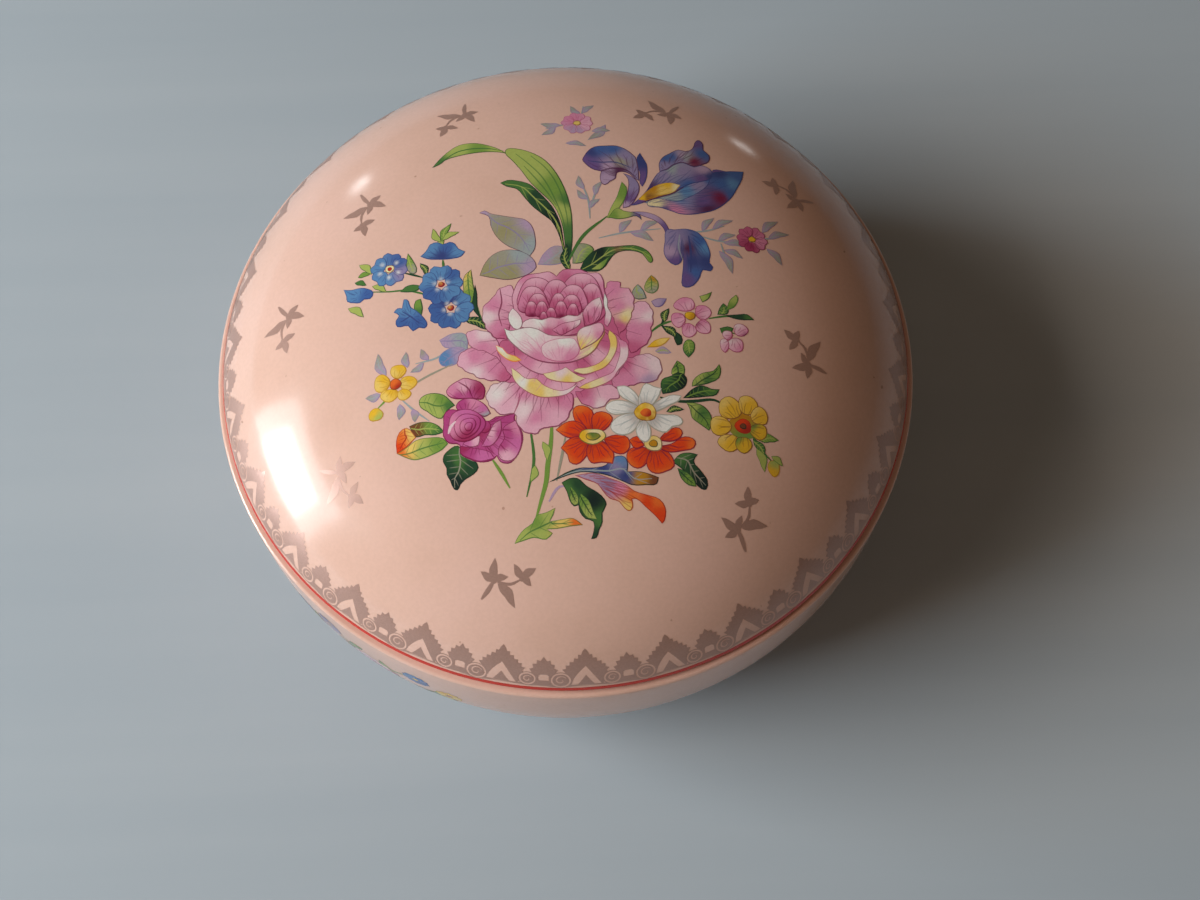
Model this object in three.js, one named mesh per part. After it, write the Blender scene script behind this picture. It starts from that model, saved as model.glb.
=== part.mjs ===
// A round porcelain powder jar: a squat bowl on a foot ring, and a domed lid that lifts off.
// The bowl's wall ends in a flat ledge with a plain upright lip inside it. The lid's flat rim
// rests over that ledge, round the lip. Millimetres, +Z up, origin on the table at the middle
// of the foot ring.
import * as THREE from "three";

// Lid
const lidRadius = 70; // outer radius of the lid at its lower edge, before that edge is rounded
const domeRise = 29; // crown above the lid's lower edge
const domeBelt = 7; // how far below the lower edge the dome would be at its widest
const domeFullness = 2.33; // power of the dome's outline across: 2 is an ellipse
const lidWall = 3.6;
const lidRimWidth = 4.8; // flat unglazed ring that rests on the bowl
const lidEdgeRound = 0.8;

// Bowl
const seamHeight = 44; // the ledge above the table
const bowlStep = 1; // how far the bowl's rim stands out past the lid's edge
const bowlBottom = 1.6; // how far below the table the bowl's outline would close on the axis
const bowlFullness = 4.46; // power of the bowl's outline down: 2 is an ellipse, more is boxier
const bowlWall = 4;
const floorThickness = 4.4;
const ledgeRound = 0.7;
const collarDepth = 9; // how far below the ledge the wall starts to swell in under the lip
const lipThickness = 2.4;
const lipHeight = 3; // lip above the ledge
const lipRound = 0.9;
const footHeight = 3;
const footWidth = 4.8;
const footRound = 0.6;

// Fits
const lipClearance = 0.6; // between the lip and the lid's rim, all round
const lipHeadroom = 0.8; // above the lip, inside the lid
const seatGap = 0.2; // hairline between the lid's rim and the ledge

// Fineness of the solids
const turnSegments = 60;
const outlineSteps = 11;
const roundSteps = 2;

const glaze = { color: 0xdcab93, roughness: 0.14, metalness: 0 };

const rebateRadius = lidRadius - lidRimWidth; // inner face of the lid's rim
const rebateHeight = lipHeight + lipHeadroom;
const lipRadius = rebateRadius - lipClearance;
const bowlRadius = lidRadius + bowlStep;

// A quarter of an oval. Its widest ring is at height 0 and has the given radius, and its top is
// on the axis at the given rise. The two powers say how full it is across and upwards.
class Oval {
  constructor(radius, rise, acrossPower, upPower) {
    Object.assign(this, { radius, rise, acrossPower, upPower });
  }

  // The angle at which the outline passes a height.
  angleAt(height) {
    return Math.asin((height / this.rise) ** (this.upPower / 2));
  }

  // A point of the outline, moved inwards by a wall's thickness.
  point(angle, wall = 0) {
    const across = Math.cos(angle) ** (2 / this.acrossPower);
    const up = Math.sin(angle) ** (2 / this.upPower);
    const outwards = new THREE.Vector2(
      (this.acrossPower / this.radius) * across ** (this.acrossPower - 1),
      (this.upPower / this.rise) * up ** (this.upPower - 1),
    ).normalize();
    return new THREE.Vector2(this.radius * across, this.rise * up).addScaledVector(outwards, -wall);
  }
}

// Evenly spaced values from one number to another, both ends included.
function steps(from, to, count) {
  return Array.from({ length: count + 1 }, (_, i) => from + ((to - from) * i) / count);
}

// A corner rounded off between two points.
function rounded(from, corner, to) {
  return new THREE.QuadraticBezierCurve(from, corner, to).getPoints(roundSteps);
}

// A square corner of the outline, rounded off, coming along one face and leaving along the next.
// Each direction points from the corner along its face.
function squareCorner(x, y, radius, arrival, departure) {
  const corner = new THREE.Vector2(x, y);
  const from = corner.clone().addScaledVector(arrival, radius);
  const to = corner.clone().addScaledVector(departure, radius);
  return rounded(from, corner, to);
}

const inwards = new THREE.Vector2(-1, 0);
const outwards = new THREE.Vector2(1, 0);
const upwards = new THREE.Vector2(0, 1);
const downwards = new THREE.Vector2(0, -1);

// An outline turned about the upright axis. It runs anticlockwise, up the outside.
function turned(name, outline) {
  const geometry = new THREE.LatheGeometry(outline, turnSegments);
  geometry.rotateX(Math.PI / 2); // LatheGeometry turns about Y
  const mesh = new THREE.Mesh(geometry, new THREE.MeshStandardMaterial(glaze));
  mesh.name = name;
  return mesh;
}

// The dome's oval, whose outline passes the lid's lower edge.
function domeOval() {
  const rise = domeRise + domeBelt;
  const radius = lidRadius / (1 - (domeBelt / rise) ** 2) ** (1 / domeFullness);
  return new Oval(radius, rise, domeFullness, 2);
}

function lid() {
  const dome = domeOval();
  const placed = (point) => new THREE.Vector2(point.x, point.y - domeBelt);
  const edgeAngle = dome.angleAt(domeBelt + lidEdgeRound);

  const edge = rounded(
    new THREE.Vector2(lidRadius - lidEdgeRound, 0),
    new THREE.Vector2(lidRadius, 0),
    placed(dome.point(edgeAngle)),
  );
  const outside = steps(edgeAngle, Math.PI / 2, outlineSteps)
    .slice(1, -1)
    .map((angle) => placed(dome.point(angle)));
  const crown = new THREE.Vector2(0, domeRise);
  const crownInside = new THREE.Vector2(0, domeRise - lidWall);

  // The inner face stops above the rebate and within it.
  const inside = steps(Math.PI / 2, edgeAngle, outlineSteps)
    .slice(1)
    .map((angle) => placed(dome.point(angle, lidWall)))
    .filter((p) => p.x < rebateRadius - lidEdgeRound && p.y > rebateHeight + lidEdgeRound);
  const rebate = [
    new THREE.Vector2(rebateRadius, rebateHeight),
    new THREE.Vector2(rebateRadius, 0),
  ];

  const outline = [crownInside, ...inside, ...rebate, ...edge, ...outside, crown];
  const mesh = turned("jar_lid", outline);
  mesh.position.z = seamHeight + seatGap;
  return mesh;
}

function bowl() {
  const body = new Oval(bowlRadius, seamHeight + bowlBottom, 2, bowlFullness);
  const placed = (point) => new THREE.Vector2(point.x, seamHeight - point.y);
  const footAngle = body.angleAt(seamHeight - footHeight);
  const rimAngle = body.angleAt(ledgeRound);
  const collarAngle = body.angleAt(collarDepth);

  // Foot ring, with the shallow recess inside it
  const footOuter = placed(body.point(footAngle)).x;
  const footInner = footOuter - footWidth;
  const foot = [
    new THREE.Vector2(0, footHeight),
    new THREE.Vector2(footInner, footHeight),
    ...squareCorner(footInner, 0, footRound, upwards, outwards),
    ...squareCorner(footOuter, 0, footRound, inwards, upwards),
  ];

  // Outer wall, ledge and lip
  const wall = steps(footAngle, rimAngle, outlineSteps).map((angle) => placed(body.point(angle)));
  const ledge = squareCorner(bowlRadius, seamHeight, ledgeRound, downwards, inwards).slice(1);
  const lipInner = lipRadius - lipThickness;
  const lipTop = seamHeight + lipHeight;
  const lip = [
    new THREE.Vector2(lipRadius, seamHeight),
    ...squareCorner(lipRadius, lipTop, lipRound, downwards, inwards),
    ...squareCorner(lipInner, lipTop, lipRound, outwards, downwards),
  ];

  // Inner face: the swelling under the lip, the wall and the floor
  const floorHeight = footHeight + floorThickness;
  const collarFoot = placed(body.point(collarAngle, bowlWall));
  const collarMiddle = seamHeight - collarDepth / 2;
  const collar = new THREE.CubicBezierCurve(
    new THREE.Vector2(lipInner, seamHeight),
    new THREE.Vector2(lipInner, collarMiddle),
    new THREE.Vector2(collarFoot.x, collarMiddle),
    collarFoot,
  ).getPoints(2 * roundSteps);
  const inside = steps(collarAngle, Math.PI / 2, outlineSteps)
    .slice(1)
    .map((angle) => placed(body.point(angle, bowlWall)))
    .filter((p) => p.y > floorHeight + footRound);
  const floorEdge = inside[inside.length - 1].x - 2 * floorThickness;
  const floor = [new THREE.Vector2(floorEdge, floorHeight), new THREE.Vector2(0, floorHeight)];

  return turned("jar_bowl", [...foot, ...wall, ...ledge, ...lip, ...collar, ...inside, ...floor]);
}

const jar = new THREE.Group();
jar.add(bowl(), lid());

export default jar;
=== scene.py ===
"""The looks of a round porcelain powder jar: glazed shells, a printed bouquet, gold sprigs and lace border.

Everything printed is a film a few hundredths of a millimetre thick, drawn in plain outlines on a flat
sheet, in millimetres, and then laid on the glaze.
"""

import math

import bpy
import numpy as np
from mathutils import Matrix, Vector
from mathutils.geometry import delaunay_2d_cdt


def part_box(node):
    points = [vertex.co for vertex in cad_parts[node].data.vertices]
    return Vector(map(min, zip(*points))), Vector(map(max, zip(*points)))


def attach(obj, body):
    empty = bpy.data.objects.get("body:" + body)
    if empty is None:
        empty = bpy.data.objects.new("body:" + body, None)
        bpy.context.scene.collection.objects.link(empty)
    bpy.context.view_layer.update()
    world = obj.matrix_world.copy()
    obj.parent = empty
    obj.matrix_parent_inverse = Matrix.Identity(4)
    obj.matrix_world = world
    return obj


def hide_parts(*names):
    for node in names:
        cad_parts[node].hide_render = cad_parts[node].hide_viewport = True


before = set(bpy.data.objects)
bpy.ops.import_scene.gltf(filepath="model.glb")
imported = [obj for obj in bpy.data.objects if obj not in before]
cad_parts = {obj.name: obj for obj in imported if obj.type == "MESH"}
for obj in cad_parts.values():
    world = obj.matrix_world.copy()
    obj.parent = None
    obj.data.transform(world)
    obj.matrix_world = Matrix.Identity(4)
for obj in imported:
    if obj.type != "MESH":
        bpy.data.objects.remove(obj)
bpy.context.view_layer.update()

MM = 0.001

# ---------------------------------------------------------------- sizes, in millimetres

bowl_low, bowl_high = (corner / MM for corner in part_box("jar_bowl"))
lid_low, lid_high = (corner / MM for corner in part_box("jar_lid"))

FILM = 0.03  # how far the print stands above the glaze
FILM_ROOM = 0.05  # kept free inside the solid's size for that print

SEAT = lid_low.z  # the lid's lower edge above the table
LID_EDGE_RADIUS = (lid_high.x - lid_low.x) / 2
LID_EDGE_ROUND = 0.8
DOME_RISE = lid_high.z - lid_low.z - FILM_ROOM
DOME_BELT = 7  # how far below the lower edge the dome would be at its widest
DOME_FULLNESS = 2.33  # power of the dome's outline across
LID_RADIUS = 70  # of the dome's outline at the lid's lower edge
LID_WALL = 3.6
LID_RIM_WIDTH = 4.8
REBATE_HEIGHT = 3.8

BOWL_RADIUS = (bowl_high.x - bowl_low.x) / 2 - FILM_ROOM
LEDGE = 44  # above the table
BOWL_BOTTOM = 1.6  # how far below the table the bowl's outline would close on the axis
BOWL_FULLNESS = 4.46
BOWL_WALL = 4
FLOOR_THICKNESS = 4.4
LEDGE_ROUND = 0.7
COLLAR_DEPTH = 9
LIP_RADIUS = 64.6
LIP_THICKNESS = 2.4
LIP_TOP = bowl_high.z
LIP_ROUND = 0.9
FOOT_HEIGHT = 3
FOOT_WIDTH = 4.8
FOOT_ROUND = 0.6
HEEL_RISE = 0.35  # how far above the foot ring the soft corner under the wall ends
GLAZE_ROLL = 0.35  # the glaze's rounded end beside bare porcelain
GLAZED_LEDGE = 1.9  # how far in from its edge the bowl's ledge is glazed

TURN_STEPS = 288
DOME_STEPS = 70
WALL_STEPS = 89

TABLE_GAP = 0.1  # between the foot ring and the table
TABLE_HALF = 1600
TABLE_STEPS = 24


# ---------------------------------------------------------------- the two outlines


class Dome:
    """The lid's outside: height above the lid's lower edge for a radius."""

    rise = DOME_RISE + DOME_BELT
    widest = LID_RADIUS / (1 - (DOME_BELT / rise) ** 2) ** (1 / DOME_FULLNESS)

    @classmethod
    def height(cls, radius):
        share = 1 - (radius / cls.widest) ** DOME_FULLNESS
        return cls.rise * np.sqrt(share) - DOME_BELT

    @classmethod
    def slope(cls, radius):
        share = 1 - (radius / cls.widest) ** DOME_FULLNESS
        fall = DOME_FULLNESS * (radius / cls.widest) ** (DOME_FULLNESS - 1) / cls.widest
        return -cls.rise * fall / (2 * np.sqrt(share))


class Wall:
    """The bowl's outside: radius for a depth below the ledge."""

    rise = LEDGE + BOWL_BOTTOM

    @classmethod
    def radius(cls, depth):
        return BOWL_RADIUS * np.sqrt(1 - (depth / cls.rise) ** BOWL_FULLNESS)

    @classmethod
    def slope(cls, depth):
        share = 1 - (depth / cls.rise) ** BOWL_FULLNESS
        fall = BOWL_FULLNESS * (depth / cls.rise) ** (BOWL_FULLNESS - 1) / cls.rise
        return -BOWL_RADIUS * fall / (2 * np.sqrt(share))


def arc(centre, radius, start, end, steps=8):
    """Points of a quarter round, by angles in degrees."""
    angles = np.radians(np.linspace(start, end, steps + 1))
    return [(centre[0] + radius * math.cos(a), centre[1] + radius * math.sin(a)) for a in angles]


def bezier(a, b, c, d, steps=14):
    """Points of a cubic curve."""
    a, b, c, d = (np.array(p, float) for p in (a, b, c, d))
    return [
        tuple(a * (1 - t) ** 3 + 3 * b * t * (1 - t) ** 2 + 3 * c * t * t * (1 - t) + d * t**3)
        for t in np.linspace(0, 1, steps + 1)
    ]


def inset(points, distance):
    """An outline moved to its left by a wall's thickness."""
    points = np.array(points, float)
    run = np.gradient(points, axis=0)
    run /= np.linalg.norm(run, axis=1)[:, None]
    return points + distance * np.stack([-run[:, 1], run[:, 0]], 1)


# ---------------------------------------------------------------- shells


def turned(name, sections, materials):
    """A shell turned about the upright axis.

    Each section is a list of (radius, height) in millimetres and the place of its material in the list.
    Sections follow each other up the outside, the first and last points lie on the axis.
    """
    outline = []
    finish = []
    for points, material in sections:
        start = 1 if outline else 0
        for point in list(points)[start:]:
            outline.append(point)
            finish.append(material)
    outline = np.array(outline, float) * MM
    finish = finish[1:]
    turns = np.linspace(0, 2 * math.pi, TURN_STEPS, endpoint=False)
    vertices = [(0, 0, outline[0][1])]
    for radius, height in outline[1:-1]:
        vertices += [(radius * math.cos(t), radius * math.sin(t), height) for t in turns]
    vertices.append((0, 0, outline[-1][1]))
    rings = len(outline) - 2
    faces = []
    face_finish = []
    for ring in range(rings + 1):
        for i in range(TURN_STEPS):
            j = (i + 1) % TURN_STEPS
            low = 1 + (ring - 1) * TURN_STEPS
            high = 1 + ring * TURN_STEPS
            if ring == 0:
                faces.append((0, high + j, high + i))
            elif ring == rings:
                faces.append((low + i, low + j, len(vertices) - 1))
            else:
                faces.append((low + i, low + j, high + j, high + i))
            face_finish.append(finish[ring])
    mesh = bpy.data.meshes.new(name)
    mesh.from_pydata(vertices, [], faces)
    for material in materials:
        mesh.materials.append(material)
    mesh.polygons.foreach_set("material_index", face_finish)
    mesh.polygons.foreach_set("use_smooth", [True] * len(faces))
    mesh.update()
    piece = bpy.data.objects.new(name, mesh)
    bpy.context.scene.collection.objects.link(piece)
    return piece


def straight(start, end, steps):
    """Evenly spaced points of a straight line."""
    return [tuple(p) for p in np.linspace(start, end, steps + 1)]


def lid_shell(materials):
    """The lid, from the hollow's crown down to the rim, round the edge and up over the dome."""
    edge_height = float(Dome.height(LID_EDGE_RADIUS))
    turn = np.linspace(math.pi / 2, 0, DOME_STEPS + 1)
    radii = LID_EDGE_RADIUS * np.cos(turn)
    dome = [(r, float(Dome.height(r))) for r in radii]

    inner = inset(dome[::-1], LID_WALL)
    rebate_radius = LID_RADIUS - LID_RIM_WIDTH
    # The hollow starts on the axis and ends a little above the rebate, where the shoulder takes over.
    hollow = [tuple(p) for p in inner[::-1] if p[1] > REBATE_HEIGHT + 1.2 and p[0] > 0.2]
    hollow = [(0, float(inner[-1][1]))] + hollow
    shoulder = bezier(
        hollow[-1],
        (hollow[-1][0] + 0.9, hollow[-1][1] - 1.1),
        (rebate_radius - 1.4, REBATE_HEIGHT + 0.5),
        (rebate_radius, REBATE_HEIGHT - 0.5),
    )
    roll = [
        (rebate_radius, GLAZE_ROLL + 0.5),
        (rebate_radius + 0.04, 0.5),
        (rebate_radius + 0.16, 0.12),
        (rebate_radius + 0.4, 0),
    ]
    rim = straight((rebate_radius + 0.4, 0), (LID_EDGE_RADIUS - LID_EDGE_ROUND, 0), 6)
    edge = bezier(
        (LID_EDGE_RADIUS - LID_EDGE_ROUND, 0),
        (LID_EDGE_RADIUS - 0.35 * LID_EDGE_ROUND, 0),
        (LID_EDGE_RADIUS, 0.45 * edge_height),
        (LID_EDGE_RADIUS, edge_height),
    )
    sections = [
        (hollow, 1),
        (shoulder, 1),
        (straight(shoulder[-1], roll[0], 4), 1),
        (roll, 1),
        (rim, 2),
        (edge, 0),
        (dome[::-1], 0),
    ]
    sections = [([(x, y + SEAT) for x, y in points], finish) for points, finish in sections]
    return turned("porcelain_lid", sections, materials)


def bowl_shell(materials):
    """The bowl, from under its floor over the foot ring, up the wall, over the lip and down inside."""
    foot_depth = LEDGE - FOOT_HEIGHT
    foot_outer = float(Wall.radius(foot_depth))
    foot_inner = foot_outer - FOOT_WIDTH
    recess = straight((0, FOOT_HEIGHT), (foot_inner - 1.5, FOOT_HEIGHT), 12)
    recess += bezier(
        (foot_inner - 1.5, FOOT_HEIGHT),
        (foot_inner - 0.6, FOOT_HEIGHT),
        (foot_inner, FOOT_HEIGHT - 0.4),
        (foot_inner, FOOT_HEIGHT - 1.3),
        6,
    )[1:]
    recess.append((foot_inner, FOOT_ROUND))
    foot = arc((foot_inner + FOOT_ROUND, FOOT_ROUND), FOOT_ROUND, 180, 270, 6)
    foot += arc((foot_outer - FOOT_ROUND, FOOT_ROUND), FOOT_ROUND, 270, 360, 6)
    foot.append((foot_outer, FOOT_HEIGHT * 0.55))
    heel = bezier(
        foot[-1],
        (foot_outer, FOOT_HEIGHT * 0.8),
        (foot_outer + 0.2, FOOT_HEIGHT * 0.97),
        (float(Wall.radius(foot_depth - HEEL_RISE)), FOOT_HEIGHT + HEEL_RISE),
        5,
    )

    def angle_at(depth):
        """The outline's angle at a depth below the ledge."""
        return math.asin((depth / Wall.rise) ** (BOWL_FULLNESS / 2))

    turn = np.linspace(angle_at(foot_depth - HEEL_RISE), angle_at(LEDGE_ROUND), WALL_STEPS + 1)
    depths = Wall.rise * np.sin(turn) ** (2 / BOWL_FULLNESS)
    wall = [(float(Wall.radius(d)), LEDGE - float(d)) for d in depths]
    shoulder = arc((BOWL_RADIUS - LEDGE_ROUND, LEDGE - LEDGE_ROUND), LEDGE_ROUND, 0, 90)
    glaze_end = BOWL_RADIUS - GLAZED_LEDGE
    glazed_ledge = straight((BOWL_RADIUS - LEDGE_ROUND, LEDGE), (glaze_end, LEDGE), 2)
    ledge = straight((glaze_end, LEDGE), (LIP_RADIUS + 0.3, LEDGE), 4)
    throat = arc((LIP_RADIUS + 0.3, LEDGE + 0.3), 0.3, 270, 180, 4)
    lip_inner = LIP_RADIUS - LIP_THICKNESS
    lip = [(LIP_RADIUS, LIP_TOP - LIP_ROUND)]
    lip += arc((LIP_RADIUS - LIP_ROUND, LIP_TOP - LIP_ROUND), LIP_ROUND, 0, 90)[1:]
    lip += arc((lip_inner + LIP_ROUND, LIP_TOP - LIP_ROUND), LIP_ROUND, 90, 180)
    lip.append((lip_inner, LEDGE))

    inner = [tuple(p) for p in inset(wall, BOWL_WALL)[::-1]]
    collar_foot = min(inner, key=lambda p: abs(p[1] - (LEDGE - COLLAR_DEPTH)))
    middle = LEDGE - COLLAR_DEPTH / 2
    collar = bezier((lip_inner, LEDGE), (lip_inner, middle), (collar_foot[0], middle), collar_foot)
    floor_height = FOOT_HEIGHT + FLOOR_THICKNESS
    inside = [p for p in inner if p[1] <= collar_foot[1] and p[1] > floor_height + FOOT_ROUND]
    cove = bezier(
        inside[-1],
        (inside[-1][0] - 1.6, floor_height + 0.15),
        (inside[-1][0] - 3, floor_height),
        (inside[-1][0] - 2 * FLOOR_THICKNESS, floor_height),
    )
    floor = straight(cove[-1], (0, floor_height), 14)
    sections = [
        (recess, 1),
        (foot, 2),
        (heel, 0),
        (wall, 0),
        (shoulder, 0),
        (glazed_ledge, 0),
        (ledge, 2),
        (throat, 1),
        (lip, 1),
        (collar, 1),
        (inside, 1),
        (cove, 1),
        (floor, 1),
    ]
    return turned("porcelain_bowl", sections, materials)


# ---------------------------------------------------------------- materials


def linear(red, green, blue):
    """A colour given from 0 to 255 as the shader takes it."""
    return tuple(((c / 255 + 0.055) / 1.055) ** 2.4 if c > 10 else c / 3295 for c in (red, green, blue))


class Recipe:
    """A material's nodes, joined up one by one."""

    def __init__(self, name, roughness):
        self.material = bpy.data.materials.new(name)
        self.material.use_nodes = True
        self.tree = self.material.node_tree
        self.shader = self.tree.nodes["Principled BSDF"]
        self.shader.inputs["Roughness"].default_value = roughness
        self.place = self.add("ShaderNodeTexCoord").outputs["Object"]

    def add(self, kind, **settings):
        """A new node with the given settings."""
        node = self.tree.nodes.new(kind)
        for key, value in settings.items():
            setattr(node, key, value)
        return node

    def join(self, output, socket):
        """A link from a node's output to a socket."""
        self.tree.links.new(output, socket)

    def noise(self, size, detail=3.0, roughness=0.5, stretch=(1, 1, 1)):
        """Noise whose blotches are about the given size across, in millimetres."""
        mapping = self.add("ShaderNodeMapping")
        mapping.inputs["Scale"].default_value = stretch
        self.join(self.place, mapping.inputs["Vector"])
        node = self.add("ShaderNodeTexNoise")
        node.inputs["Scale"].default_value = 1 / (size * MM)
        node.inputs["Detail"].default_value = detail
        node.inputs["Roughness"].default_value = roughness
        self.join(mapping.outputs["Vector"], node.inputs["Vector"])
        return node.outputs["Fac"]

    def ramp(self, value, *stops):
        """A value spread between stops of (position, colour)."""
        node = self.add("ShaderNodeValToRGB")
        elements = node.color_ramp.elements
        while len(elements) < len(stops):
            elements.new(0.5)
        for element, (position, colour) in zip(elements, stops):
            element.position = position
            element.color = (*colour, 1)
        self.join(value, node.inputs["Fac"])
        return node.outputs["Color"]

    def level(self, value, low, high, low_out, high_out):
        """A value's range moved to another range."""
        node = self.add("ShaderNodeMapRange")
        node.inputs["From Min"].default_value = low
        node.inputs["From Max"].default_value = high
        node.inputs["To Min"].default_value = low_out
        node.inputs["To Max"].default_value = high_out
        self.join(value, node.inputs["Value"])
        return node.outputs["Result"]

    def mix(self, share, first, second, blend="MIX"):
        """Two colours mixed. Each value is a colour, a number for the share, or a node's output."""
        node = self.add("ShaderNodeMix", data_type="RGBA", blend_type=blend)
        for socket, value in ((0, share), (6, first), (7, second)):
            if isinstance(value, bpy.types.NodeSocket):
                self.join(value, node.inputs[socket])
            else:
                node.inputs[socket].default_value = value if socket == 0 else (*value, 1)
        return node.outputs[2]

    def bump(self, height, depth, under=None):
        """Relief of a depth in millimetres."""
        node = self.add("ShaderNodeBump")
        node.inputs["Distance"].default_value = depth * MM
        self.join(height, node.inputs["Height"])
        if under is not None:
            self.join(under, node.inputs["Normal"])
        return node.outputs["Normal"]

    def set(self, socket, value):
        """A value or a node's output for one of the shader's sockets."""
        if isinstance(value, bpy.types.NodeSocket):
            self.join(value, self.shader.inputs[socket])
        else:
            self.shader.inputs[socket].default_value = value


def glossy_surface(recipe, low=0.1, high=0.17):
    """The glaze's finish: slow waves, a fine orange peel and faint wiping marks."""
    waves = recipe.bump(recipe.noise(22, 2), 0.05)
    recipe.set("Normal", recipe.bump(recipe.noise(1.6, 2), 0.0035, under=waves))
    recipe.set("Roughness", recipe.level(recipe.noise(9, 5, 0.65), 0.3, 0.7, low, high))
    recipe.set("IOR", 1.5)


def peach_glaze():
    """The sprayed peach ground: soft blotches, a fine stipple and a few dark specks under the glaze."""
    recipe = Recipe("peach_glaze", 0.14)
    cloud = recipe.ramp(
        recipe.noise(30, 4, 0.55),
        (0.3, linear(229, 189, 175)),
        (0.52, linear(226, 186, 170)),
        (0.72, linear(220, 180, 163)),
    )
    stipple = recipe.ramp(recipe.noise(0.7, 2), (0.35, (0.965, 0.96, 0.955)), (0.65, (1.0, 1.0, 1.0)))
    ground = recipe.mix(1.0, cloud, stipple, "MULTIPLY")
    speck = recipe.level(recipe.noise(1.9, 1), 0.795, 0.83, 0.0, 0.5)
    recipe.set("Base Color", recipe.mix(speck, ground, linear(150, 100, 80)))
    glossy_surface(recipe)
    return recipe.material


def white_glaze():
    """Clear glaze on white porcelain, inside the jar and under the foot."""
    recipe = Recipe("white_glaze", 0.1)
    body = recipe.ramp(
        recipe.noise(24, 3),
        (0.3, linear(238, 235, 228)),
        (0.7, linear(231, 227, 217)),
    )
    speck = recipe.level(recipe.noise(2.3, 1), 0.8, 0.83, 0.0, 0.55)
    recipe.set("Base Color", recipe.mix(speck, body, linear(120, 100, 85)))
    glossy_surface(recipe, 0.07, 0.13)
    return recipe.material


def print_enamel(name, low, high, metal=0.0):
    """Transfer print in its own colours, faintly mottled, under the same finish as the glaze."""
    recipe = Recipe(name, low)
    paint = recipe.add("ShaderNodeAttribute", attribute_name="paint").outputs["Color"]
    grain = recipe.ramp(recipe.noise(0.35, 2), (0.3, (0.9, 0.9, 0.9)), (0.7, (1.0, 1.0, 1.0)))
    wear = recipe.ramp(recipe.noise(6, 3), (0.3, (0.95, 0.95, 0.95)), (0.7, (1.0, 1.0, 1.0)))
    recipe.set("Base Color", recipe.mix(1.0, recipe.mix(1.0, paint, grain, "MULTIPLY"), wear, "MULTIPLY"))
    glossy_surface(recipe, low, high)
    recipe.set("Metallic", metal)
    return recipe.material


def bare_porcelain():
    """Unglazed ground porcelain where the lid seats and the foot stands, slightly dirty."""
    recipe = Recipe("bare_porcelain", 0.75)
    dirt = recipe.ramp(
        recipe.noise(5, 6, 0.7),
        (0.35, linear(214, 205, 190)),
        (0.6, linear(233, 228, 217)),
    )
    recipe.set("Base Color", dirt)
    recipe.set("Roughness", recipe.level(recipe.noise(3, 4), 0.3, 0.7, 0.6, 0.85))
    recipe.set("Normal", recipe.bump(recipe.noise(0.25, 4, 0.7), 0.02))
    return recipe.material


def table_top():
    """A plain pale matt surface."""
    recipe = Recipe("pale_table", 0.75)
    tone = recipe.ramp(
        recipe.noise(30, 4, stretch=(0.08, 1.4, 1)),
        (0.3, linear(170, 182, 192)),
        (0.7, linear(176, 187, 196)),
    )
    recipe.set("Base Color", tone)
    recipe.set("Specular IOR Level", 0.1)
    return recipe.material


# ---------------------------------------------------------------- painting

RUFFLE_LENGTH = 2.3  # of one scallop along a ruffled petal, in millimetres
RUFFLE_MIDDLE = 0.6  # about a scallop's mean depth, so that the petal keeps its size
FLAT_STEP = 0.75  # between the points inside a painted area, in millimetres
EDGE_STEP = 0.9  # between the points of an outline
INK_GAIN = 1.4  # how much lighter the inks are than they look in this light, at the lid's crown
INK_LIMIT = 0.86  # no channel of an ink is brighter than this

INKS = {
    "wine": (104, 22, 56),
    "deep": (140, 42, 80),
    "rose": (172, 84, 118),
    "magenta": (158, 62, 114),
    "orchid": (178, 92, 142),
    "pink": (190, 118, 148),
    "pale": (202, 152, 170),
    "blush": (208, 184, 188),
    "white": (214, 204, 200),
    "cream": (214, 192, 148),
    "straw": (208, 176, 96),
    "yellow": (204, 160, 40),
    "ochre": (168, 118, 30),
    "orange": (204, 98, 40),
    "red": (198, 60, 26),
    "brick": (150, 40, 30),
    "brown": (104, 60, 40),
    "lilac": (158, 134, 160),
    "lavender": (128, 116, 150),
    "violet": (94, 72, 122),
    "plum": (74, 34, 66),
    "navy": (50, 60, 110),
    "blue": (58, 86, 140),
    "sky": (80, 120, 162),
    "mist": (138, 148, 150),
    "grey": (140, 136, 120),
    "ash": (172, 164, 160),
    "olive": (138, 132, 96),
    "lime": (148, 160, 84),
    "leaf": (104, 134, 60),
    "green": (66, 104, 54),
    "forest": (34, 62, 44),
    "dark": (24, 38, 36),
    "gold": (164, 131, 120),
    "red_line": (176, 50, 38),
}


def ink_colour(name):
    """An ink's colour in the shader."""
    return np.minimum(np.array(linear(*INKS[name])) * INK_GAIN, INK_LIMIT)


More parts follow.
